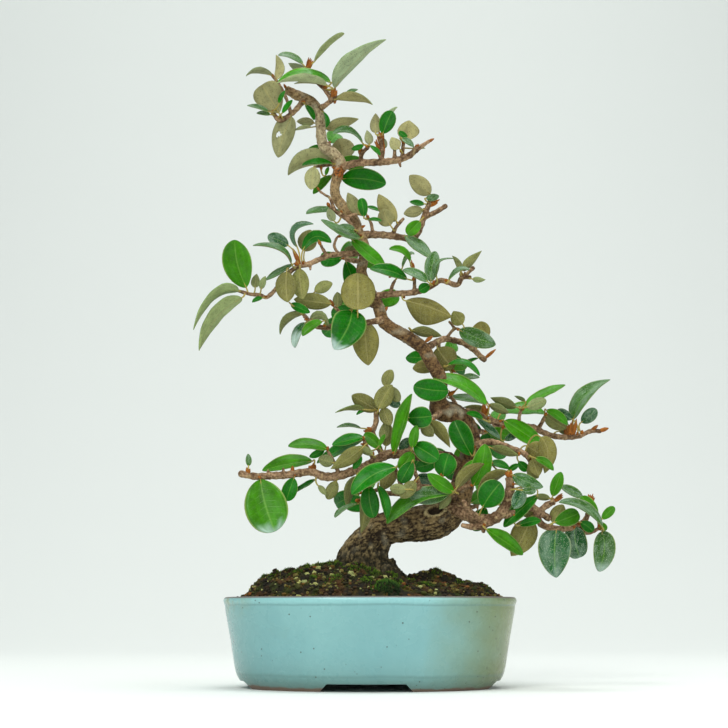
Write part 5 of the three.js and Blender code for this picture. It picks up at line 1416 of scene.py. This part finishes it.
# Blades fitted closer: two powers that set their outline, a share of their width, and how far the
# middle lies further right and the whole nearer to the front, in mm.
FITTED = {
    (-24, 403): (0.62, 0.9, 1.0, 0, 0),
    (-83, 263): (0.66, 0.58, 1.0, 0, 0),
    (-12, 247): (0.5, 0.68, 1.04, 4, 0),
    (-8, 248): (0.48, 0.44, 1.0, 0, 0),
    (122, 101): (0.4, 0.72, 1.0, -2, 0),
    (134, 103): (0.34, 0.34, 1.0, 0, 0),
    (152, 100): (0.5, 0.56, 1.0, 5, 0),
    (52, 126): (0.6, 0.6, 1.0, 0, 12),
    (90, 178.5): (0.5, 0.5, 1.6, 0, 0),
    (-62, 385): (0.8, 0.32, 1.0, 3, 0),
    (24, 254): (0.8, 0.95, 1.0, 0, 0),
    (-38, 422): (0.5, 0.4, 0.8, 0, 0),
    (-86, 256): (0.5, 0.95, 1.0, 0, 0),
    (-88, 261): (0.45, 0.9, 1.0, 0, 0),
    (-54, 383): (0.42, 0.74, 1.14, -3, 0),
    (135, 174): (0.6, 0.9, 1.0, 0, 0),
    (52, 193): (0.5, 0.5, 1.0, 0, 30),
    (77, 184): (0.55, 0.6, 1.0, 0, 16),
}
# Leaves that are wider on one side of the midrib than on the other, as shares of the even width.
LOPSIDED = {(24, 254): (1.6, 0.62)}
# How much of a leaf's waviness is left in its finer blade.
CALM = 0.4
# An insect's hole, as it looks from the front, through the leaf that starts at the first place.
EATEN = ((-54, 383), (-62.5, 370.5), 1.9)


def varied(colour, draw, much=0.16):
    share = 1 + much * (2 * draw() - 1)
    warm = 1 + 0.08 * (2 * draw() - 1)
    return (colour[0] * share * warm, colour[1] * share, colour[2] * share / warm)


def flat(place):
    """A place as it looks from the front, on the plane of the pot's middle."""
    far = (place[1] - EYE[1]) / -EYE[1]
    return (EYE[0] + (place[0] - EYE[0]) / far, EYE[2] + (place[2] - EYE[2]) / far)


def outline_powers(leaf, draw):
    """Powers that shape a blade toward its base and toward its tip: the lower, the fuller."""
    slender = clamp((0.56 - leaf["width"] / leaf["length"]) / 0.12)
    pointed = {"U": 0.28, "B": 0.0, "D": 0.0}.get(leaf["kind"], 0.06)
    low = 0.56 + 0.1 * draw()
    return low, 0.42 + 0.18 * slender + (0.09 + pointed) * draw() + 0.5 * pointed


def under_colour(leaf):
    """The underside's colour, by the leaf's kind, height and size; it is painted paler up high as painted
    light.
    """
    height = (leaf["base"][2] - LIT_UNDER_FROM) / LIT_UNDER_OVER
    small = (SMALL_FROM - leaf["width"]) / SMALL_OVER
    usual = blend(*LOWER.get(leaf["kind"], LOWER_HIDDEN), height)
    return blend(usual, blend(*LOWER_SMALL, height), small)


def thick_faces(faces, count):
    """Faces, their backs a count of points further on, and the rim that joins both."""
    backs = [tuple(count + i for i in reversed(face)) for face in faces]
    edges = {(a, b) for face in faces for a, b in zip(face, face[1:] + face[:1])}
    rim = [(b, a, a + count, b + count) for a, b in sorted(edges) if (b, a) not in edges]
    return faces + backs + rim


def add_blade(pile, leaf, draw):
    shown = tuple(round(v, 1) for v in flat(leaf["base"]))
    leaf = dict(leaf, ripple=CALM * leaf["ripple"])
    eaten = shown == EATEN[0]
    rows = clamp(round(leaf["length"] / ROW_LENGTH), LEAST_ROWS, MOST_ROWS)
    rows, columns = (EATEN_ROWS, EATEN_COLUMNS) if eaten else (rows, COLUMNS)
    low, high = outline_powers(leaf, draw)
    if shown in FITTED:
        low, high, wide, right, nearer = FITTED[shown]
        bend = plus(leaf["bend"], (right, 0, 0))
        leaf = moved(dict(leaf, width=wide * leaf["width"], bend=bend), -nearer)
    widest = low / (low + high)
    most = widest**low * (1 - widest) ** high

    def rounded(t):
        return t**low * (1 - t) ** high / most

    one_side, other_side = LOPSIDED.get(shown, (1.0, 1.0))
    wave = CALM * (0.015 + 0.035 * draw())
    top, under = varied(UPPER[leaf["kind"]], draw), varied(under_colour(leaf), draw, 0.2)
    silver, silver_from = SILVERED.get(shown, (0.0, 1.0))
    own = draw()
    upper, lower, ribs, tops = [], [], [], []
    for i in range(rows + 1):
        t = 0.002 + 0.996 * (1 - math.cos(math.pi * i / rows)) / 2
        for j in range(columns + 1):
            s = 2 * j / columns - 1
            on, up, _ = blade_at(leaf, t, s * (one_side if s < 0 else other_side), wave, rounded)
            ridge = max(0.0, 1 - abs(s) * 5)
            upper.append(plus(on, times(up, HALF_THICK - 0.12 * ridge)))
            lower.append(minus(on, times(up, HALF_THICK + 0.3 * ridge * (1.1 - t))))
            ribs.append((t, s, own))
            streak = 0.5 * noise.noise(Vector((1.5 * t, 6 * s, 9 * own)))
            shine = clamp((t + 0.3 * streak - silver_from) / 0.1, 0.0, 1.0 + streak)
            tops.append(blend(top, SILVER, silver * shine))
    width = columns + 1
    faces = []
    for i in range(rows):
        for j in range(columns):
            a = i * width + j
            hole = eaten and math.dist(flat(upper[a]), EATEN[1]) < EATEN[2] * (0.85 + 0.3 * draw())
            if not hole:
                faces.append((a, a + 1, a + width + 1, a + width))
    count = len(upper)
    skin = thick_faces(faces, count)
    used = sorted({i for face in faces for i in face})
    used += [count + i for i in used]
    order = {i: k for k, i in enumerate(used)}
    points, tints = upper + lower, tops + [under] * count
    pile.add(
        [points[i] for i in used],
        [tuple(order[i] for i in face) for face in skin],
        [0] * len(faces) + [1] * (len(skin) - len(faces)),
        [tints[i] for i in used],
        [ribs[i % count] for i in used],
        SCURF[leaf["kind"]],
    )


def add_stalk(pile, leaf, draw):
    foot, _, way = blade_at(leaf, 0.001, 0)
    inner, up_in, _ = blade_at(leaf, 0.12, 0)
    root = leaf["root"]
    reach = span(minus(foot, root))
    back = 0.8 if dot(minus(foot, root), way) < 0 else 0.0
    handle = plus(foot, plus(times(way, -0.5 * reach), times(leaf["up"], 0.5 * back * reach)))
    route = []
    for k in range(7):
        t = k / 6
        on = plus(plus(times(root, (1 - t) ** 2), times(handle, 2 * t * (1 - t))), times(foot, t * t))
        route.append(on + (0.62 - 0.14 * t,))
    route.append(minus(inner, times(up_in, 0.25)) + (0.3,))
    pile.add(*tube(route, 6), 2, varied(STALK, draw))


def add_bud(pile, foot, tip, radius, draw):
    """A pointed bud of a few rusty scales."""
    axis = minus(tip, foot)
    shape = ((0.0, 0.5), (0.15, 0.75), (0.4, 1.0), (0.65, 0.92), (0.85, 0.6), (1.0, 0.2))
    route = [plus(foot, times(axis, t)) + (radius * share,) for t, share in shape]
    turn = 6.28 * draw()

    def scales(middle, angle):
        return 1 + 0.14 * math.sin(2 * angle + turn) + 0.12 * (draw() - 0.5)

    points, faces = tube(smooth_route(route, 0.55), 9, scales)
    base = blend(BUD_DARK, BUD, 0.3 + 0.7 * draw())
    pile.add(points, faces, 3, [blend(base, BUD_DARK, 0.7 * draw()) for _ in points])


def add_bud_group(pile, foot, tip, radius, draw):
    """The larger buds are three or four scales side by side, fanned a little."""
    if radius < LARGE_BUD:
        add_bud(pile, foot, tip, radius, draw)
        return
    axis = minus(tip, foot)
    side = unit(cross(axis, (0, 1, 0)))
    count = 3 if radius < LARGEST_BUD else 4
    for k in range(count):
        off = (k - (count - 1) / 2) * radius * 0.55
        deep = (0, radius * (draw() - 0.7), 0)
        start = plus(foot, times(side, 0.5 * off))
        end = plus(plus(foot, times(axis, 0.7 + 0.35 * draw())), plus(times(side, 1.15 * off), deep))
        add_bud(pile, start, end, radius * (0.42 + 0.14 * draw()), draw)


def make_leaves(name, stems, leaves, buds, materials, draw):
    pile = Pile()
    places = along(stems)
    for leaf in leaves:
        add_blade(pile, leaf, draw)
        add_stalk(pile, leaf, draw)
        # Small buds sit in the corner between most stalks and the wood.
        if draw() < BUD_CHANCE:
            stalk = minus(leaf["base"], leaf["root"])
            out = unit(stalk) if span(stalk) > 0.5 else leaf["way"]
            away = unit(plus(out, times(leaf["up"], 0.9)))
            size = 0.8 + 0.45 * draw()
            add_bud(pile, leaf["root"], plus(leaf["root"], times(away, 2.9 + 1.6 * draw())), size, draw)
    for x0, z0, x1, z1, radius in buds:
        foot = nearest_place(places, x0, z0)
        add_bud_group(pile, foot, seen(x1, z1, foot[1] - 1), radius, draw)
    pile.piece(name + "_leaves", materials, [name], "foliage")


# Buds that break from the trunk itself: foot and tip as seen from the front, and the radius.
TRUNK_BUDS = (
    (-20, 344, -26, 347, 1.2), (-24, 392, -24, 399, 1.3), (-57, 402, -59, 406, 1.1),
    (-9, 303, -3, 306, 1.2), (13, 270, 17, 274, 1.1), (37, 226, 42, 230, 1.2),
    (52, 190, 57, 193, 1.2), (9, 246, 12, 250, 1.1), (-11, 320, -6, 323, 1.1),
    (-27, 357, -23, 360, 1.1), (44, 205, 48, 208, 1.1), (-20, 341, -20, 351, 2.0),
)


def make_trunk_buds(materials, draw):
    pile = Pile()
    places = along([stem_of(TRUNK)])
    for x0, z0, x1, z1, radius in TRUNK_BUDS:
        foot = seen(x0, z0, nearest_place(places, x0, z0)[1])
        add_bud_group(pile, foot, seen(x1, z1, foot[1] - 1), radius, draw)
    pile.piece("trunk_buds", materials, ["trunk"], "foliage")


# Pot, soil and moss.

# The pot is oval: this long from its middle to the rim's end, and so much shorter to its front.
POT_HALF = 95
OVAL_LESS = 20
POT_SIDES = 144
# Each cut through the foot ring: its middle, its width at the foot and its width at the head.
FRONT_ARCH = (-2.5, 57, 49)
SIDE_ARCH = (0, 46, 38)
DRAIN_AT = 36
DRAIN_RADIUS = 9
WALL = POT_HALF - 0.3
SOIL_TOP_HALF = WALL - 6.9
SOIL_EDGE_Z = 55.5
RIDGE = (
    (-92, 55.5), (-88, 55.8), (-84, 57.5), (-80, 59.5), (-76, 63.5), (-72, 67.5), (-66, 70),
    (-58, 72), (-50, 73.5), (-40, 75), (-28, 77), (-20, 77), (-5, 76), (12, 72), (25, 67),
    (45, 66.5), (60, 66), (70, 64.5), (78, 62), (85, 59), (90, 55.8), (92, 55.5),
)
# The moss cushion in front and the crusted hump to the right of the trunk: x, y, radius, height.
DOMES = ((11, -58, 8.5, 4.5), (42, 3, 17.5, 6.8))
# Moss grows in patches: x, y, radius, and how densely.
MOSS_PATCHES = (
    (11, -58, 8.5, 14), (-27, -3, 6, 10), (-42, -5, 6, 9), (-53, -4, 5, 9), (-34, -12, 5, 8),
    (-12, -30, 6, 8), (2, -34, 6, 9), (26, -14, 4, 7), (-62, -16, 5, 7), (-22, -48, 5, 7),
    (44, -4, 5, 6), (64, 6, 5, 6),
    (-20, 34, 8, 7), (24, 38, 7, 7), (-58, 20, 6, 6), (50, 28, 5, 6), (2, 50, 8, 8), (-8, -20, 7, 9),
    (-68, -5, 4, 8), (-46, -26, 5, 7), (-2, -50, 5, 9), (14, -26, 5, 8), (34, -34, 5, 6), (56, -20, 5, 6),
    (-36, -42, 4, 6), (74, -10, 4, 6), (-21, -16, 5, 10), (18, -44, 6, 9),
)
MOSS_LUMPS = tuple((x, y, 0.85 * radius, 0.45 * radius) for x, y, radius, _ in MOSS_PATCHES[1:])


def oval_ring(half, z, segments):
    turns = [2 * math.pi * k / segments for k in range(segments)]
    return [(half * math.cos(a), (half - OVAL_LESS) * math.sin(a), z) for a in turns]


def ridge_at(x):
    for (x0, z0), (x1, z1) in zip(RIDGE, RIDGE[1:]):
        if x1 > x:
            return z0 + (z1 - z0) * (x - x0) / (x1 - x0)
    return SOIL_EDGE_Z


def mound_at(x, y):
    half = SOIL_TOP_HALF
    out = math.hypot(x / half, y / (half - OVAL_LESS))
    deep = (half - OVAL_LESS) * math.sqrt(max(1 - (x / half) ** 2, 0.0001))
    across = min(abs(y) / deep, 1)
    fall = (1 - across**2.4) ** 0.9 * min(1, max(9 * (1 - out), 0))
    lumps = 0.9 * math.sin(x * 0.31 + 1.3) * math.cos(y * 0.37) + 0.6 * math.sin(x * 0.83 + y * 0.71)
    height = SOIL_EDGE_Z + (ridge_at(x) - SOIL_EDGE_Z + lumps) * fall
    for middle, front, radius, rise in DOMES + MOSS_LUMPS:
        away = math.hypot(x - middle, y - front) / radius
        if away < 1:
            height += rise * math.sqrt(1 - away * away)
    return height


def arc_rows(half, z, radius, start, end, steps):
    """Part of a circle in the wall's section, about (half, z), by angles in degrees."""
    angles = [math.radians(start + (end - start) * k / steps) for k in range(steps + 1)]
    return [(half + radius * math.cos(a), z + radius * math.sin(a)) for a in angles]


def make_pot(material):
    """The wall as a loft from the underside round to the floor, with arches and drain holes cut."""
    outer = [(67, 5.4), (69, 0.8)] + arc_rows(69.9, 0.7, 0.7, 200, 270, 3)
    outer += arc_rows(79.8, 0.9, 0.9, 270, 335, 4)
    outer += [(82.2, 2.6), (83.9, 5), (85.4, 7.5), (86.5, 10.2), (86.9, 12.2), (87.2, 13)]
    outer += [(87.9, 17), (89.1, 24), (90.6, 33), (92.1, 41), (93.5, 48), (93.9, 51), (93.95, 52.2)]
    outer += [(94.3, 52.9)] + arc_rows(92.7, 55.2, 2.3, -12, 90, 7)
    outer += arc_rows(90.8, 56.5, 1.0, 90, 190, 4)
    outer += [(88.6, 53), (87.6, 50), (85, 34), (81.5, 17), (80, 12.6), (77, 10.5)]
    points = [(0, 0, 5.4)]
    for half, z in outer:
        points += oval_ring(half, z, POT_SIDES)
    points.append((0, 0, 10.5))
    wall = rough_object(points, loft_faces(len(outer), POT_SIDES))
    cuts = [arch_cut(*FRONT_ARCH, False), arch_cut(*SIDE_ARCH, True)]
    cuts += [drill_cut(-DRAIN_AT), drill_cut(DRAIN_AT)]
    for cut in cuts:
        bite = wall.modifiers.new("bite", "BOOLEAN")
        bite.operation = "DIFFERENCE"
        bite.solver = "EXACT"
        bite.object = cut
    graph = bpy.context.evaluated_depsgraph_get()
    done = bpy.data.meshes.new_from_object(wall.evaluated_get(graph))
    for rough in [wall, *cuts]:
        bpy.data.objects.remove(rough)
    soften(done, 34)
    done.materials.clear()
    settle("pot_glazed", done, [material], ["pot"])


def loft_faces(rings, segments):
    """Faces between stacked rings, closed by a middle point before the first and after the last."""
    faces = []
    top, last = 1 + rings * segments, 1 + (rings - 1) * segments
    for k in range(segments):
        after = (k + 1) % segments
        faces += [(0, 1 + after, 1 + k), (top, last + k, last + after)]
        for i in range(rings - 1):
            a, b = 1 + i * segments + k, 1 + i * segments + after
            faces.append((a, b, b + segments, a + segments))
    return faces


def soften(mesh, degrees):
    """Smooth shading, with the edges sharper than this left crisp."""
    shape = bmesh.new()
    shape.from_mesh(mesh)
    for face in shape.faces:
        face.smooth = True
    for edge in shape.edges:
        edge.smooth = not (edge.is_manifold and edge.calc_face_angle(0) > math.radians(degrees))
    shape.to_mesh(mesh)
    shape.free()


def rough_object(points, faces):
    mesh = bpy.data.meshes.new("rough")
    mesh.from_pydata(on_pot(points), [], faces)
    return placed("rough", mesh)


def bar_faces(corners):
    """Faces of a bar between two equal sections."""
    faces = [tuple(range(corners)), tuple(range(2 * corners - 1, corners - 1, -1))]
    for k in range(corners):
        after = (k + 1) % corners
        faces.append((after, k, k + corners, after + corners))
    return faces


def arch_cut(middle, foot, head, turned):
    low, high = 0.5 * foot + 0.8, 0.5 * head
    section = [(middle - low, -1), (middle + low, -1), (middle + high, 4.4), (middle + high - 0.6, 4.8)]
    section += [(middle - high + 0.6, 4.8), (middle - high, 4.4)]
    points = [(u, d, z) for d in (-130, 130) for u, z in section]
    if turned:
        points = [(-d, u, z) for u, d, z in points]
    return rough_object(points, bar_faces(len(section)))


def drill_cut(x):
    turns = [-2 * math.pi * k / 40 for k in range(40)]
    circle = [(x + DRAIN_RADIUS * math.cos(a), DRAIN_RADIUS * math.sin(a)) for a in turns]
    points = [(u, v, z) for z in (-5, 25) for u, v in circle]
    return rough_object(points, bar_faces(40))


SOIL_DARK = srgb(32, 28, 17)
SOIL_RUSTY = srgb(98, 62, 22)
SOIL_BLACK = srgb(27, 27, 20)
SOIL_GREEN = srgb(58, 70, 18)
# Kinds of grain, each with the share of all grains up to it, its colour and its size in mm.
GRAINS = (
    (0.46, srgb(40, 33, 20), 1.0),
    (0.7, srgb(66, 50, 28), 0.95),
    (0.82, srgb(74, 74, 32), 1.0),
    (0.86, srgb(118, 76, 36), 1.0),
    (0.93, srgb(110, 102, 52), 1.05),
    (1.01, srgb(150, 154, 94), 1.25),
)
MOSS_BRIGHT = srgb(128, 168, 22)
MOSS_DEEP = srgb(26, 52, 8)
CUSHION_BRIGHT = srgb(84, 138, 8)
CUSHION_DEEP = srgb(6, 34, 1)
GRAIN_COUNT = 6400
# Grains of the kinds up to this share take the soil's stains.
STAINED_TO = 0.86


def ball():
    """The corners and faces of a plain twenty-sided ball."""
    g = (1 + math.sqrt(5)) / 2
    corners = [(-1, g, 0), (1, g, 0), (-1, -g, 0), (1, -g, 0), (0, -1, g), (0, 1, g)]
    corners += [(0, -1, -g), (0, 1, -g), (g, 0, -1), (g, 0, 1), (-g, 0, -1), (-g, 0, 1)]
    sides = [(0, 11, 5), (0, 5, 1), (0, 1, 7), (0, 7, 10), (0, 10, 11), (1, 5, 9), (5, 11, 4)]
    sides += [(11, 10, 2), (10, 7, 6), (7, 1, 8), (3, 9, 4), (3, 4, 2), (3, 2, 6), (3, 6, 8)]
    sides += [(3, 8, 9), (4, 9, 5), (2, 4, 11), (6, 2, 10), (8, 6, 7), (9, 8, 1)]
    return [unit(c) for c in corners], sides


def soil_stained(colour, x, y):
    """Rusty, blackish and greenish stretches of the soil."""
    patch = noise.fractal(Vector((0.13 * x, 0.13 * y, 3.0)), 0.8, 2.0, 3)
    green = noise.noise(Vector((0.16 * x, 0.16 * y, 8.0)))
    colour = blend(colour, SOIL_GREEN, min(2.2 * (green - 0.08), 0.55))
    if patch > 0:
        return blend(colour, SOIL_RUSTY, min(1.1 * (patch - 0.1), 0.38))
    return blend(colour, SOIL_BLACK, min(-1.6 * patch, 0.6))


def make_soil(material):
    around, rings = 220, 70
    points = [(0, 0, 10.8)]
    for half, z in ((WALL - 18.6, 10.8), (WALL - 13.9, 17.4), (WALL - 8.2, 48)):
        points += oval_ring(half, z, around)
    for i in range(rings):
        for x, y, _ in oval_ring(SOIL_TOP_HALF, 0, around):
            place = Vector((x, y, 0)) * (1 - i / rings)
            crumbs = 0.95 * noise.fractal(place * 0.36, 0.7, 2.1, 4) if i else 0
            points.append((place.x, place.y, mound_at(place.x, place.y) + crumbs))
    points.append((0, 0, mound_at(0, 0)))
    stains = [soil_stained(SOIL_DARK, x, y) for x, y, _ in points]
    pile = Pile()
    pile.add(points, loft_faces(3 + rings, around), 0, stains)
    pile.piece("soil_bed", [material], ["soil"], "soil")


def make_grains(material, draw):
    pile = Pile()
    corners, sides = ball()
    half = POT_HALF - 7.6
    cushion_x, cushion_y, cushion_radius, _ = DOMES[0]
    for _ in range(GRAIN_COUNT):
        turn, out = 6.2832 * draw(), math.sqrt(draw())
        x, y = half * out * math.cos(turn), (half - OVAL_LESS) * out * math.sin(turn)
        if math.hypot(x - cushion_x, y - cushion_y) < cushion_radius * 0.92:
            continue
        mossy = any(math.hypot(x - mx, y - my) < 0.8 * radius for mx, my, radius, _ in MOSS_PATCHES)
        if mossy and draw() < 0.6:
            continue
        # The palest grains are rarer on the right.
        pick = draw() * (0.945 if x > 25 else 0.98)
        _, colour, usual = next(row for row in GRAINS if pick < row[0])
        size = usual * (0.6 + 1.25 * draw() ** 2.5)
        stretch = [0.7 + 0.6 * draw() for _ in range(3)]
        spin = 6.28 * draw()
        points = []
        for corner in corners:
            jut = size * (0.82 + 0.36 * draw())
            px, py, pz = (c * k * jut for c, k in zip(corner, stretch))
            points.append((
                x + px * math.cos(spin) - py * math.sin(spin),
                y + px * math.sin(spin) + py * math.cos(spin),
                mound_at(x, y) + 0.3 * size + 0.85 * pz,
            ))
        if pick < STAINED_TO:
            colour = soil_stained(colour, x, y)
        pile.add(points, sides, 0, varied(colour, draw, 0.25))
    pile.piece("soil_grains", [material], ["soil"], "soil", smooth=False)


SPIKE_FACES = [(0, 1, 3), (1, 2, 3), (2, 0, 3), (0, 2, 1)]


def make_moss(material, draw):
    """Cushions of short moss shoots, each a small three-sided spike, in clumps."""
    pile = Pile()
    half = POT_HALF - 7.4
    for row, (mx, my, radius, thick) in enumerate(MOSS_PATCHES):
        deep, light = (CUSHION_DEEP, CUSHION_BRIGHT) if row == 0 else (MOSS_DEEP, MOSS_BRIGHT)
        for _ in range(int(1.5 * radius * radius * thick)):
            turn, out = 6.2832 * draw(), math.sqrt(draw())
            wobble = 1 + 0.25 * math.sin(3 * turn + mx)
            x = mx + radius * out * wobble * math.cos(turn)
            y = my + radius * out * wobble * math.sin(turn)
            if math.hypot(x / half, y / (half - OVAL_LESS)) > 0.985:
                continue
            clump = noise.noise(Vector((x * 0.75, y * 0.75, 4.0))) * (1.5 if row == 0 else 1)
            least, more = (1.0, 1.1) if row == 0 else (0.9, 1.0)
            tall = (least + more * draw()) * (1 - 0.6 * out) * (1 + 0.9 * clump)
            if tall < 0.5:
                continue
            z = mound_at(x, y) - 0.3
            lean = [1.6 * (draw() - 0.5) + 0.7 * off / radius for off in (x - mx, y - my)]
            wide, spin = 0.3 + 0.16 * draw(), 6.28 * draw()
            turns = [spin + a for a in (0, 2.1, 4.2)]
            feet = [(x + wide * math.cos(a), y + wide * math.sin(a), z) for a in turns]
            tip = (x + lean[0], y + lean[1], z + 0.3 + tall)
            bright = 0.1 + 0.9 * draw() * clamp(0.55 + 1.2 * clump)
            # The cushion is painted lighter towards its back and left, as painted light on its top.
            if row == 0:
                bright *= clamp(0.75 + (y - my - 0.4 * (x - mx)) / radius, 0.1, 1.3)
            # Each shoot's feet are darkened halfway to black, as painted shade among the shoots; its tip
            # takes its own green.
            low, high = blend(deep, (0, 0, 0), 0.5), blend(deep, light, bright)
            pile.add(feet + [tip], SPIKE_FACES, 0, [low, low, low, high])
    pile.piece("moss", [material], [], "soil")


# The whole.

# The camera's lens and sensor in mm, and how far it looks up in degrees.
LENS = 75.2
SENSOR_WIDTH = 36
CAMERA_PITCH = 9.26


def dress():
    bark = bark_material()
    leaf_set = [
        leaf_top_material(),
        leaf_under_material(),
        tinted_material("leaf_stalk", 0.6, 900, 0.8, 1.2),
        tinted_material("rusty_bud", 0.7, 1500, 0.6, 1.4, 0.5),
    ]
    make_pot(glaze_material())
    make_soil(tinted_material("soil_fines", 0.95, 700, 0.4, 1.6, 0.8))
    make_grains(tinted_material("soil_grain", 0.9, 900, 0.7, 1.3, 0.4), random_from(5))
    make_moss(tinted_material("moss_shoots", 0.8, 500, 0.8, 1.2), random_from(7))
    make_trunk(bark)
    make_trunk_buds(leaf_set, random_from(31))
    for i, (name, (stems, leaves)) in enumerate(grow_tree().items()):
        draw = random_from(401 + 7 * i)
        make_twigs(name, stems, bark, draw)
        buds = SPRAYS[name]["buds"] if name in SPRAYS else []
        make_leaves(name, stems, leaves, buds, leaf_set, draw)
    net = plain_material("drain_net", srgb(34, 36, 38), 0.6)
    for node in ("drain_mesh_left", "drain_mesh_right"):
        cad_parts[node].data.materials.clear()
        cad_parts[node].data.materials.append(net)


def make_sweep():
    """A pale sheet that is the floor and curves up into the background."""
    turns = [math.pi / 2 * k / 12 for k in range(13)]
    bend = [(0.9 + 1.6 * math.sin(a), 1.6 - 1.6 * math.cos(a)) for a in turns]
    profile = [(-3.0, 0.0), *bend, (2.5, 4.5)]
    points = [(x, y, z) for y, z in profile for x in (-4.0, 4.0)]
    faces = [(2 * i, 2 * i + 1, 2 * i + 3, 2 * i + 2) for i in range(len(profile) - 1)]
    mesh = bpy.data.meshes.new("sweep")
    mesh.from_pydata(points, [], faces)
    mesh.polygons.foreach_set("use_smooth", [True] * len(faces))
    mesh.materials.append(plain_material("pale_paper", srgb(228, 233, 229), 0.95))
    sweep = placed("sweep", mesh)


def add_lamp(name, place, target, size, power, colour):
    light = bpy.data.lights.new(name, "AREA")
    light.size = size
    light.energy = power
    light.color = colour
    lamp = placed(name, light)
    lamp.location = place
    lamp.rotation_euler = (Vector(target) - Vector(place)).to_track_quat("-Z", "Y").to_euler()


def light_it():
    world = bpy.data.worlds.new("soft_room")
    world.use_nodes = True
    background = world.node_tree.nodes["Background"]
    background.inputs["Color"].default_value = (0.95, 0.98, 1.0, 1)
    background.inputs["Strength"].default_value = 0.42
    bpy.context.scene.world = world
    add_lamp("key", (-0.6, -1.2, 1.5), (0, 0, 0.2), 0.6, 14.5, (1.0, 0.99, 0.96))
    add_lamp("top", (0.25, -0.1, 1.7), (0, 0, 0.2), 0.7, 9, (1, 1, 1))
    add_lamp("fill", (1.3, -1.0, 0.6), (0, 0, 0.2), 0.9, 5, (0.96, 0.98, 1.0))
    add_lamp("front", (-0.3, -1.7, 0.4), (0, 0, 0.25), 1.2, 8, (1, 1, 0.98))
    add_lamp("wall", (0, 0.4, 2.6), (0, 2.2, 0.5), 1.4, 27, (1, 1, 1))


def aim_camera():
    data = bpy.data.cameras.new("camera")
    data.sensor_width = SENSOR_WIDTH
    data.lens = LENS
    camera = placed("camera", data)
    camera.location = on_pot([EYE])[0]
    camera.rotation_euler = (math.radians(90 + CAMERA_PITCH), 0, 0)
    bpy.context.scene.camera = camera
    bpy.context.scene.view_settings.view_transform = "Standard"


dress()
make_sweep()
light_it()
aim_camera()
